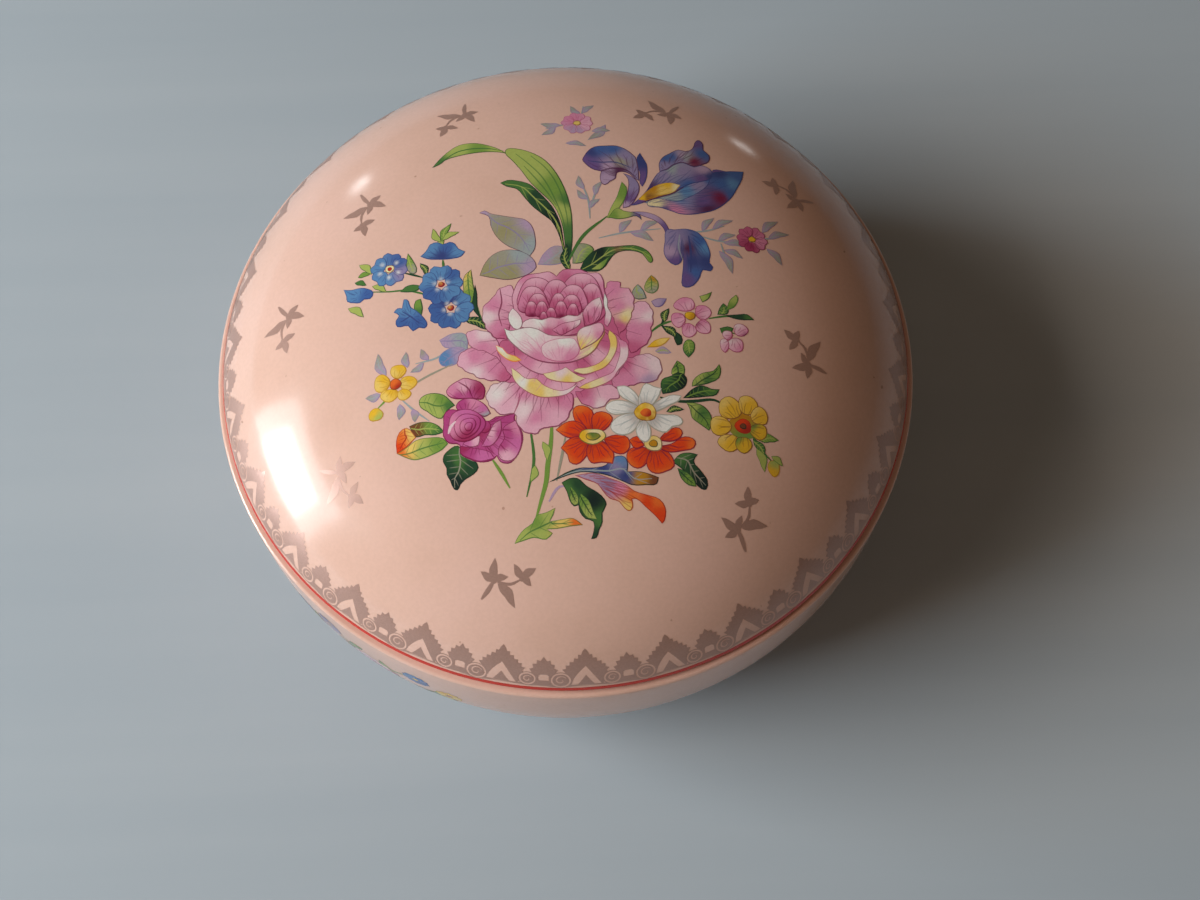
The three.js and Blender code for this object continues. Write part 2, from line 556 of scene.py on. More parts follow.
def smooth(points, closed=True):
    """A smooth curve through points, with a corner kept wherever it turns sharply."""
    points = np.array(points, float)
    count = len(points)
    before = np.roll(points, 1, 0)
    after = np.roll(points, -1, 0)
    if not closed:
        before[0] = points[0]
        after[-1] = points[-1]
    arrive = points - before
    leave = after - points
    long_in = np.linalg.norm(arrive, axis=1) + 1e-9
    long_out = np.linalg.norm(leave, axis=1) + 1e-9
    cosine = (arrive * leave).sum(1) / (long_in * long_out)
    tangent = arrive / long_in[:, None] + leave / long_out[:, None]
    tangent /= np.linalg.norm(tangent, axis=1)[:, None] + 1e-9
    sharp = cosine < 0.1
    runs = []
    for i in range(count if closed else count - 1):
        j = (i + 1) % count
        length = long_out[i]
        start = leave[i] if sharp[i] else tangent[i] * length
        end = leave[i] if sharp[j] else tangent[j] * length
        t = np.linspace(0, 1, max(2, math.ceil(length / EDGE_STEP)) + 1)[:-1, None]
        curve = (2 * t**3 - 3 * t**2 + 1) * points[i] + (t**3 - 2 * t**2 + t) * start
        runs.append(curve + (3 * t**2 - 2 * t**3) * points[j] + (t**3 - t**2) * end)
    if not closed:
        runs.append(points[-1:])
    return np.concatenate(runs)


def ruffled(outline, depth):
    """An outline with shallow scallops along it."""
    ahead = np.roll(outline, -1, 0) - outline
    along = np.cumsum(np.linalg.norm(ahead, axis=1))
    scallops = round(along[-1] / RUFFLE_LENGTH)
    run = np.roll(outline, -1, 0) - np.roll(outline, 1, 0)
    run /= np.linalg.norm(run, axis=1)[:, None] + 1e-9
    side = np.stack([-run[:, 1], run[:, 0]], 1)
    dip = np.abs(np.sin(math.pi * scallops * along / along[-1])) - RUFFLE_MIDDLE
    x, y = outline.T
    turn = np.sign((x * np.roll(y, -1) - y * np.roll(x, -1)).sum())
    return outline - turn * side * (depth * dip)[:, None]


def inside(outline, points):
    """Which of the points lie inside a closed outline."""
    found = np.zeros(len(points), bool)
    low, high = outline.min(0), outline.max(0)
    near = np.flatnonzero(((points >= low) & (points <= high)).all(1))
    if len(near) == 0:
        return found
    x, y = points[near].T
    ax, ay = outline.T
    bx, by = np.roll(outline, -1, 0).T
    spans = (ay[None] > y[:, None]) != (by[None] > y[:, None])
    rise = np.where(np.abs(by - ay) < 1e-12, 1e-12, by - ay)
    crossing = ax[None] + (y[:, None] - ay[None]) * ((bx - ax) / rise)[None]
    found[near] = (spans & (x[:, None] < crossing)).sum(1) % 2 == 1
    return found


BARE = "bare"  # the piece name of an area where the print is left out


class Layer:
    """One painted area. Its colour is a blend of the inks set at points in it."""

    def __init__(self, outline, inks, piece=None, alpha=1.0, hole=None, clip=None, glow=None):
        self.outline = outline
        self.piece = piece
        self.alpha = alpha
        self.hole = hole
        self.clip = clip
        self.glow = glow
        spots = [spot.split() for spot in inks.split(",")]
        self.colours = np.array([ink_colour(spot[0]) for spot in spots])
        self.spots = np.array([[float(v) for v in spot[1:]] or [0, 0] for spot in spots])

    def covers(self, points):
        """Which of the points it paints."""
        found = inside(self.outline, points)
        if self.hole is not None:
            found[found] = ~inside(self.hole, points[found])
        if self.clip is not None:
            found[found] = inside(self.clip, points[found])
        return found

    def colour_at(self, points):
        """Each point's colour, nearest to that of the inks set beside it."""
        away = ((points[:, None] - self.spots[None]) ** 2).sum(2) + 0.15
        share = away**-1.6
        return (share[:, :, None] * self.colours[None]).sum(1) / share.sum(1)[:, None]

    def strength_at(self, points):
        """How strongly it covers each point. A soft spot fades outwards."""
        if self.glow is None:
            return np.full(len(points), self.alpha)
        x, y, reach = self.glow
        away = ((points - (x, y)) ** 2).sum(1)
        return self.alpha * np.exp(-1.6 * away / reach**2)


class Sheet:
    """A flat sheet of painted areas, later ones on top, in millimetres."""

    def __init__(self):
        self.layers = []
        self.piece = None

    def shape(self, points, inks, line="", width=0.22, veins="", root=None, rib="", ruffle=0.0):
        """A closed area with an optional contour, fan of veins from a root, leaf rib or ruffled edge."""
        outline = smooth(points)
        if ruffle:
            outline = ruffled(outline, ruffle)
        self.add_area(outline, inks)
        if root is not None:
            self.fan(outline, root, veins or line)
        if rib:
            self.leaf_veins(outline, rib)
        if line:
            self.contour(outline, line, width)
        return outline

    def add_area(self, outline, inks):
        """An area of the present piece, from its finished outline."""
        self.layers.append(Layer(outline, inks, piece=self.piece))

    def contour(self, outline, ink, width):
        """A line just inside an outline, heavier on its lower right."""
        run = np.roll(outline, -1, 0) - np.roll(outline, 1, 0)
        run /= np.linalg.norm(run, axis=1)[:, None] + 1e-9
        out = np.stack([run[:, 1], -run[:, 0]], 1)
        x, y = outline.T
        if (x * np.roll(y, -1) - y * np.roll(x, -1)).sum() < 0:
            out = -out
        weight = 0.55 + 0.45 * np.clip(out @ np.array((0.6, -0.8)) + 0.3, 0, 1)
        hole = outline - out * (width * weight)[:, None]
        self.layers.append(Layer(outline, ink, hole=hole, alpha=0.8))

    def stroke(self, points, ink, width=0.35, alpha=1.0, clip=None, piece=None):
        """A line that thins out at both ends. Without a clip it can stand on bare glaze."""
        middle = smooth(points, closed=False)
        run = np.gradient(middle, axis=0)
        run /= np.linalg.norm(run, axis=1)[:, None] + 1e-9
        side = np.stack([-run[:, 1], run[:, 0]], 1)
        along = np.linspace(0, 1, len(middle))
        half = 0.5 * width * (0.3 + 0.7 * np.sin(math.pi * np.clip(along * 0.9 + 0.08, 0, 1)))
        edges = side * half[:, None]
        outline = np.concatenate([middle + edges, (middle - edges)[::-1]])
        owner = None if clip is not None else piece or self.piece
        self.layers.append(Layer(outline, ink, piece=owner, alpha=alpha, clip=clip))

    def glow(self, x, y, reach, ink, strength):
        """A soft spot over what is already painted."""
        turn = np.linspace(0, 2 * math.pi, 12, endpoint=False)
        ring = np.stack([x + 1.5 * reach * np.cos(turn), y + 1.5 * reach * np.sin(turn)], 1)
        self.layers.append(Layer(ring, ink, alpha=strength, glow=(x, y, reach)))

    def fan(self, outline, root, ink):
        """Fine lines that run from a petal's root most of the way to its edge."""
        root = np.array(root, float)
        long = np.linalg.norm(np.roll(outline, -1, 0) - outline, axis=1).sum()
        count = int(long / 1.25)
        for k in range(count):
            end = outline[int((k + 0.5) * len(outline) / count)]
            reach = end - root
            size = np.linalg.norm(reach)
            if size < 1.6:
                continue
            far = 0.9 if k % 3 == 0 else 0.76
            bend = np.array((-reach[1], reach[0])) * 0.035 * (-1) ** k
            start = root + reach * (0.3 + 0.1 * (k % 2))
            middle = root + reach * 0.6 + bend
            self.stroke([start, middle, root + reach * far], ink, 0.22, 0.42, clip=outline)

    def leaf_veins(self, outline, ink):
        """A middle rib between a leaf's two ends, and side veins."""
        gaps = ((outline[:, None] - outline[None]) ** 2).sum(2)
        a, b = np.unravel_index(gaps.argmax(), gaps.shape)
        one, other = outline[min(a, b) : max(a, b)], np.roll(outline, -max(a, b), 0)
        other = other[: len(outline) - abs(b - a)][::-1]
        shares = np.linspace(0.06, 0.94, 7)
        rib = [(one[int(s * (len(one) - 1))] + other[int(s * (len(other) - 1))]) / 2 for s in shares]
        self.stroke(rib, ink, 0.28, 0.85, clip=outline)
        for k, share in enumerate(shares[1:-1]):
            for edge in (one, other):
                end = edge[int(min(share + 0.13, 0.97) * (len(edge) - 1))]
                start = rib[k + 1]
                self.stroke([start, start + (end - start) * 0.8], ink, 0.18, 0.5, clip=outline)

    def petals(self, x, y, count, reach, wide, inks, line, turn=0.0):
        """A ring of like petals round a flower's eye."""
        inner = 0.25  # where a petal starts, as a share of its reach
        for k in range(count):
            a = math.radians(turn) + 2 * math.pi * k / count
            forth = np.array((math.cos(a), math.sin(a)))
            side = np.array((-forth[1], forth[0]))
            middle = np.array((x, y))
            half = wide / 2
            outline = [
                middle + forth * reach * inner - side * half * 0.4,
                middle + forth * reach * 0.62 - side * half,
                middle + forth * reach * 0.96 - side * half * 0.62,
                middle + forth * reach * 0.9,
                middle + forth * reach * 1.0 + side * half * 0.55,
                middle + forth * reach * 0.66 + side * half,
                middle + forth * reach * inner + side * half * 0.4,
            ]
            self.shape(outline, inks, line, 0.18, root=(x, y))

    def oval(self, x, y, wide, high, inks, line="", turn=0.0, width=0.2):
        """A soft oval, slightly uneven like one laid with a brush."""
        points = []
        for k in range(8):
            a = 2 * math.pi * k / 8
            uneven = 1 + 0.07 * math.cos(3 * a + x * 5 + y)
            px, py = wide / 2 * math.cos(a) * uneven, high / 2 * math.sin(a) * uneven
            t = math.radians(turn)
            right = px * math.cos(t) - py * math.sin(t)
            up = px * math.sin(t) + py * math.cos(t)
            points.append((x + right, y + up))
        return self.shape(points, inks, line, width)

    def leaf(self, start, end, wide, inks, line="forest", bend=0.12, rib="lime"):
        """A pointed leaf between two points."""
        start, end = np.array(start, float), np.array(end, float)
        along = end - start
        side = np.array((-along[1], along[0]))
        side /= np.linalg.norm(side)
        middle = (start + end) / 2 + side * np.linalg.norm(along) * bend
        half = wide / 2
        outline = [
            start,
            (start + middle) / 2 + side * half * 0.85,
            middle + side * half,
            (end + middle) / 2 + side * half * 0.6,
            end,
            (end + middle) / 2 - side * half * 0.7,
            middle - side * half,
            (start + middle) / 2 - side * half * 0.85,
        ]
        long = np.linalg.norm(along)
        return self.shape(outline, inks, line, 0.16, rib=rib if long > 3 else "")

    def triangles(self):
        """Corner places, corner colours and owner of every painted triangle."""
        loops = []
        for layer in self.layers:
            if layer.glow is None:
                loops.append(layer.outline)
            if layer.hole is not None:
                loops.append(layer.hole)
        corners = np.concatenate(loops)
        edges = []
        first = 0
        for loop in loops:
            edges += [(first + i, first + (i + 1) % len(loop)) for i in range(len(loop))]
            first += len(loop)
        low, high = corners.min(0), corners.max(0)
        xs = np.arange(low[0], high[0], FLAT_STEP)
        ys = np.arange(low[1], high[1], FLAT_STEP * 0.87)
        grid = np.array([(x + FLAT_STEP / 2 * (j % 2), y) for j, y in enumerate(ys) for x in xs])
        wanted = np.zeros(len(grid), bool)
        for layer in self.layers:
            if layer.piece:
                wanted |= inside(layer.outline, grid)
        points = [Vector(p) for p in np.concatenate([corners, grid[wanted]])]
        places, _, faces, _, _, _ = delaunay_2d_cdt(points, edges, [], 0, 1e-5, False)
        places = np.array([tuple(p) for p in places])
        faces = np.array([f for f in faces if len(f) == 3])
        middles = places[faces].mean(1)
        colours = np.zeros((len(faces), 3, 3))
        owners = np.full(len(faces), -1)
        pieces = sorted({layer.piece for layer in self.layers if layer.piece} - {BARE})
        for layer in self.layers:
            found = np.flatnonzero(layer.covers(middles))
            if layer.piece is None:
                found = found[owners[found] >= 0]
            if len(found) == 0:
                continue
            if layer.piece == BARE:
                owners[found] = -1
                continue
            spots = places[faces[found]].reshape(-1, 2)
            strength = layer.strength_at(spots).reshape(-1, 3, 1)
            if layer.piece:
                strength = np.where(owners[found][:, None, None] < 0, 1.0, strength)
                owners[found] = pieces.index(layer.piece)
            paint = layer.colour_at(spots).reshape(-1, 3, 3)
            colours[found] += (paint - colours[found]) * strength
        return places, faces, colours, owners, pieces


def film(name, places, normals, faces, colours, material):
    """A printed film as a mesh, with its own colours and the glaze's own normals."""
    used, faces = np.unique(faces, return_inverse=True)
    faces = faces.reshape(-1, 3)
    places = places[used]
    normals = normals[used]
    a, b, c = places[faces[:, 0]], places[faces[:, 1]], places[faces[:, 2]]
    facing = np.cross(b - a, c - a)
    outwards = (facing * normals[faces[:, 0]]).sum(1) > 0
    real = np.linalg.norm(facing, axis=1) > 1e-13
    faces = np.where(outwards[:, None], faces, faces[:, ::-1])[real]
    colours = np.where(outwards[:, None, None], colours, colours[:, ::-1])[real]
    mesh = bpy.data.meshes.new(name)
    mesh.from_pydata(places.tolist(), [], faces.tolist())
    mesh.materials.append(material)
    mesh.polygons.foreach_set("use_smooth", [True] * len(faces))
    paint = mesh.color_attributes.new("paint", "FLOAT_COLOR", "CORNER")
    rgba = np.concatenate([colours.reshape(-1, 3), np.ones((len(faces) * 3, 1))], 1)
    paint.data.foreach_set("color", rgba.astype(np.float32).ravel())
    mesh.normals_split_custom_set_from_vertices(normals.tolist())
    piece = bpy.data.objects.new(name, mesh)
    bpy.context.scene.collection.objects.link(piece)
    return piece


def lay(sheet, body, material, place, copies=1):
    """Lays a sheet on the glaze as one film for each of its pieces. Copies are joined."""
    places, faces, colours, owners, pieces = sheet.triangles()
    for index, name in enumerate(pieces):
        mine = owners == index
        if not mine.any():
            continue
        spots = [place(places, copy) for copy in range(copies)]
        laid = np.concatenate([spot[0] for spot in spots])
        normals = np.concatenate([spot[1] for spot in spots])
        joined = np.concatenate([faces[mine] + copy * len(places) for copy in range(copies)])
        piece = film(name, laid, normals, joined, np.tile(colours[mine], (copies, 1, 1)), material)
        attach(piece, body)


# ---------------------------------------------------------------- from the flat sheet to the glaze

LACE_COUNT = 27
LACE_PITCH = 2 * math.pi * LID_RADIUS / LACE_COUNT
LACE_START = math.radians(-88.6)
SPRIGS = (  # each one's angle round the lid, radius and tilt
    (-105.3, 54.8, -15),
    (-56, 54.3, -29),
    (-16.5, 47.8, -40),
    (27, 53, -26),
    (63, 50, -33),
    (112.5, 49.5, -19),
    (147.5, 44.5, -17),
    (178, 53.5, 9),
    (-144, 53, 10),
)
SPRAY_ANGLES = (-125, -5, 115)  # round the bowl


def run_lengths(across, up):
    """How far each point of a line is from its start, along it."""
    return np.concatenate([[0], np.cumsum(np.hypot(np.diff(across), np.diff(up)))])


edge_radii = np.linspace(LID_EDGE_RADIUS, 45, 600)
edge_lengths = run_lengths(edge_radii, Dome.height(edge_radii))
wall_depths = np.linspace(0, 40, 600)
wall_lengths = run_lengths(Wall.radius(wall_depths), wall_depths)


def on_dome(x, y):
    """Places and normals on the lid for points seen from above."""
    radius = np.hypot(x, y)
    slope = Dome.slope(np.maximum(radius, 1e-6))
    turn = np.stack([x, y], 1) / np.maximum(radius, 1e-6)[:, None]
    normals = np.concatenate([-slope[:, None] * turn, np.ones((len(x), 1))], 1)
    normals /= np.linalg.norm(normals, axis=1)[:, None]
    places = np.stack([x, y, Dome.height(radius) + SEAT], 1) + FILM * normals
    return places * MM, normals


def from_above(points, _copy):
    """For points on the lid's plan."""
    return on_dome(points[:, 0], points[:, 1])


def along_rim(points, copy):
    """For points given along the lid's edge and up the dome from it, repeated round the lid."""
    radius = np.interp(points[:, 1], edge_lengths, edge_radii)
    angle = points[:, 0] / LID_RADIUS + LACE_START + copy * 2 * math.pi / LACE_COUNT
    return on_dome(radius * np.cos(angle), radius * np.sin(angle))


def at_sprig(points, copy):
    """For one sprig's own points, at each of the places that the sprigs have on the dome."""
    around, radius, tilt = SPRIGS[copy]
    around = math.radians(around)
    turn = around + math.pi / 2 - math.radians(tilt)
    along = np.array((math.cos(turn), math.sin(turn)))
    across = np.array((-along[1], along[0]))
    spots = points[:, :1] * along + points[:, 1:] * across
    spots += radius * np.array((math.cos(around), math.sin(around)))
    return on_dome(spots[:, 0], spots[:, 1])


def on_wall(points, copy):
    """For points along the bowl and down from its ledge, repeated at each spray's place."""
    depth = np.interp(-points[:, 1], wall_lengths, wall_depths)
    angle = math.radians(SPRAY_ANGLES[copy]) + points[:, 0] / BOWL_RADIUS
    radius = Wall.radius(depth)
    slope = Wall.slope(depth)
    normals = np.stack([np.cos(angle), np.sin(angle), slope], 1)
    normals /= np.linalg.norm(normals, axis=1)[:, None]
    places = np.stack([radius * np.cos(angle), radius * np.sin(angle), LEDGE - depth], 1)
    return (places + FILM * normals) * MM, normals


# ---------------------------------------------------------------- gold sprigs, lace border, red line

BAND_LOW = 1.0  # the lace stands on a band, measured up the dome from the lid's edge
BAND_HIGH = 1.75
MOTIF_LEFT = -4.85  # one period of the lace starts here, with its chevron at 0


def mirrored(half):
    """A closed outline from its right half, given from the foot to the tip."""
    return list(half) + [(-x, y) for x, y in half[::-1] if x != 0]


def disc(x, y, radius):
    """A round outline."""
    turn = np.linspace(0, 2 * math.pi, 24, endpoint=False)
    return np.stack([x + radius * np.cos(turn), y + radius * np.sin(turn)], 1)


def lace_motif():
    """A large toothed chevron, a small toothed crown and two scrolls, on the band they stand on."""
    sheet = Sheet()
    sheet.piece = "lid_lace_border"
    left, right = MOTIF_LEFT, LACE_PITCH + MOTIF_LEFT
    scrolls = ((5.0, 3.1, 1.65), (right, 2.95, 1.95))
    band = [(left, BAND_LOW), (right, BAND_LOW), (right, BAND_HIGH), (left, BAND_HIGH)]
    sheet.add_area(np.array(band), "gold")

    chevron = [
        (3.2, 1.5), (3.5, 3.4), (4.4, 4.5), (4.0, 5.1), (4.6, 5.8), (3.8, 6), (3.9, 6.8), (3.1, 6.8),
        (3.1, 7.6), (2.3, 7.5), (2.2, 8.4), (1.4, 8.3), (1.4, 9.2), (0.8, 9.1), (0.5, 9.9), (0, 10.5),
    ]
    vee = np.array([(-3.0, 1.6), (0, 6.6), (3.0, 1.6), (1.7, 1.6), (0, 4.3), (-1.7, 1.6)])
    wedge = np.array([(-1.7, 1.6), (0, 4.3), (1.7, 1.6)])
    sheet.layers.append(Layer(np.array(mirrored(chevron)), "gold", piece=sheet.piece, hole=vee))
    sheet.layers.append(Layer(wedge, "gold", piece=sheet.piece))

    crown = [
        (2.6, 1.6), (2.7, 3.4), (3.0, 4.4), (2.3, 4.9), (2.8, 5.7), (2.0, 6.0), (2.2, 6.9), (1.4, 7.0),
        (1.3, 7.9), (0.6, 7.7), (0, 8.7),
    ]
    window = np.array([(-1, 2.8), (1, 2.8), (1, 4.1), (0.6, 4.4), (-0.6, 4.4), (-1, 4.1)])
    middle = np.array((LACE_PITCH / 2, 0))
    crown = np.array(mirrored(crown)) + middle
    sheet.layers.append(Layer(crown, "gold", piece=sheet.piece, hole=window + middle))

    # The scroll of the motif before this one reaches in at the left, so its place is kept free.
    ring = 0.2  # the rim's width round a scroll
    x, y, radius = scrolls[1]
    sheet.layers.append(Layer(disc(x - LACE_PITCH, y, radius + ring), "gold", piece=BARE))
    for x, y, radius in scrolls:
        for edge, piece in ((radius + ring, sheet.piece), (radius, BARE), (radius - 0.36, sheet.piece)):
            sheet.layers.append(Layer(disc(x, y, edge), "gold", piece=piece))
        turn = np.linspace(0.5, 7.0, 14)
        reach = np.linspace(radius - 0.75, 0.3, 14)
        spiral = np.stack([x + reach * np.cos(turn), y + reach * np.sin(turn)], 1)
        sheet.stroke(spiral, "gold", 0.3, piece=BARE)
    return sheet


def sprig_motif():
    """Two small stars of leaves on a bent stalk."""
    sheet = Sheet()
    sheet.piece = "lid_gold_sprigs"
    for x, y, lobes in (
        (0, 0, ((0.3, 3.5, 1.5), (-2.4, 1.5, 1.3), (2.6, 0.3, 1.2))),
        (5.2, 0, ((-1.5, 2.3, 1.3), (2.5, 1.4, 1.4), (1.5, -1.4, 1.2))),
    ):
        for dx, dy, wide in lobes:
            sheet.leaf((x - dx * 0.1, y - dy * 0.1), (x + dx, y + dy), wide, "gold", "", 0.06, "")
        sheet.oval(x, y, 1.3, 1.3, "gold")
    sheet.stroke([(0, 0), (-1, -1.4), (-2.5, -2.9)], "gold", 0.85)
    sheet.stroke([(4.8, -0.3), (3, -0.9), (1, -0.5), (0, 0)], "gold", 0.5)
    sheet.leaf((0.6, -0.6), (3.6, -4.7), 1.7, "gold", "", 0.1, "")
    sheet.oval(2.2, -2.1, 1.7, 1.3, "gold")
    return sheet


def edge_line(material):
    """The enamel line round the lid's lower edge, over its rounding and a little way up the dome."""
    start = float(Dome.height(LID_EDGE_RADIUS))
    heights = np.linspace(0.18 * start, start, 8)
    rounding = [(LID_EDGE_RADIUS - LID_EDGE_ROUND * 0.42 * (1 - h / start) ** 2, h) for h in heights]
    radii = np.interp(np.linspace(0.1, 0.85, 8), edge_lengths, edge_radii)
    path = np.array(rounding + [(r, float(Dome.height(r))) for r in radii])
    run = np.gradient(path, axis=0)
    run /= np.linalg.norm(run, axis=1)[:, None]
    normals = np.stack([run[:, 1], -run[:, 0]], 1)
    path = path + normals * FILM
    turns = np.linspace(0, 2 * math.pi, TURN_STEPS, endpoint=False)
    spin = np.stack([np.cos(turns), np.sin(turns)], 1)
    rings = len(path)
    places = np.array([(r * c, r * s, h + SEAT) for r, h in path for c, s in spin]) * MM
    facing = np.array([(r * c, r * s, h) for r, h in normals for c, s in spin])
    faces = []
    for ring in range(rings - 1):
        for i in range(TURN_STEPS):
            j = (i + 1) % TURN_STEPS
            a, b = ring * TURN_STEPS + i, ring * TURN_STEPS + j
            c, d = a + TURN_STEPS, b + TURN_STEPS
            faces += [(a, b, d), (a, d, c)]
    faces = np.array(faces)
    colours = np.tile(ink_colour("red_line"), (len(faces), 3, 1))
    piece = film("lid_edge_line", places, facing, faces, colours, material)
    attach(piece, "lid")


# ---------------------------------------------------------------- the bouquet, on the lid's plan


def grey_sprigs(s):
    """Pale grey and lilac sprigs at the back of the bouquet."""
    s.piece = "lid_grey_sprigs"
    for points in (
        [(5.5, 15.5), (5.3, 20), (3.8, 25)],
        [(5.8, 18), (6.4, 20.5), (7.3, 23.5)],
        [(7, 11), (11, 12), (19, 13.2)],
        [(24, 12.5), (28, 13.2), (31.5, 14.7)],
        [(26, 12), (30, 11), (35, 11)],
        [(30.5, 10.5), (31, 8), (32, 4.5)],
        [(9.5, 40), (8, 37.5), (5.8, 35.5)],
        [(-2.5, 39), (0.8, 40), (3, 40.3)],
        [(4, 41), (5, 44), (5.2, 46)],
        [(38, 12.5), (41, 13), (44, 14.5)],
        [(-30.5, -20), (-28.5, -22), (-25.5, -24.5)],
        [(-33.6, -15), (-34.6, -13), (-35, -10.5)],
        [(-20, -10), (-24, -12.5), (-28, -13.2)],
    ):
        s.stroke(points, "mist", 0.4)
    for start, end, wide in (
        ((5.3, 20), (3.2, 22.5), 1.3),
        ((5.4, 18), (7.6, 20.2), 1.2),
        ((4.6, 22.5), (3.6, 26), 1.4),
        ((6.6, 21), (8.2, 24.6), 1.3),
        ((13, 12.3), (17.5, 10.3), 1.8),
        ((11, 12.2), (13.5, 15.2), 1.5),
        ((15, 12.7), (18.8, 15), 1.5),
        ((27, 13), (29.6, 16.4), 1.4),
        ((29, 13.6), (33.4, 16.2), 1.4),
        ((30, 11.1), (33.6, 12.8), 1.4),
        ((31, 10.6), (35.8, 10.2), 1.5),
        ((30, 8.8), (32.3, 3.8), 1.7),
        ((31, 9), (34.6, 7.4), 1.4),
        ((9.5, 40), (5.8, 35.5), 1.8),
        ((6.6, 38), (10.4, 38.2), 1.5),
        ((1.3, 34.7), (5.5, 33.8), 1.3),
        ((0.5, 40), (-3.6, 40.6), 1.7),
        ((-0.5, 39.6), (-3.4, 37.2), 1.5),
        ((4.6, 43), (2.6, 46), 1.4),
        ((5, 43.6), (7.4, 46.2), 1.4),
        ((39, 14), (42.5, 17.4), 1.6),
        ((40, 12.7), (44.6, 14.6), 1.5),
        ((39.5, 10.4), (42.4, 6.9), 1.6),
        ((-33.6, -15), (-35.2, -10.2), 1.8),
        ((-29.5, -13.8), (-29.8, -10.6), 1.5),
        ((-34.6, -18.3), (-37.6, -18.6), 1.6),
        ((-31, -20.6), (-31.2, -23.6), 1.6),
        ((-28.6, -21.8), (-28.2, -24.4), 1.5),
        ((-25.5, -12.8), (-27, -10.4), 1.4),
        ((-26.4, -13.2), (-29, -14.8), 1.3),
    ):
        inks = f"lilac {start[0]} {start[1]}, grey {end[0]} {end[1]}"
        s.leaf(start, end, wide, inks, "lavender", rib="mist")


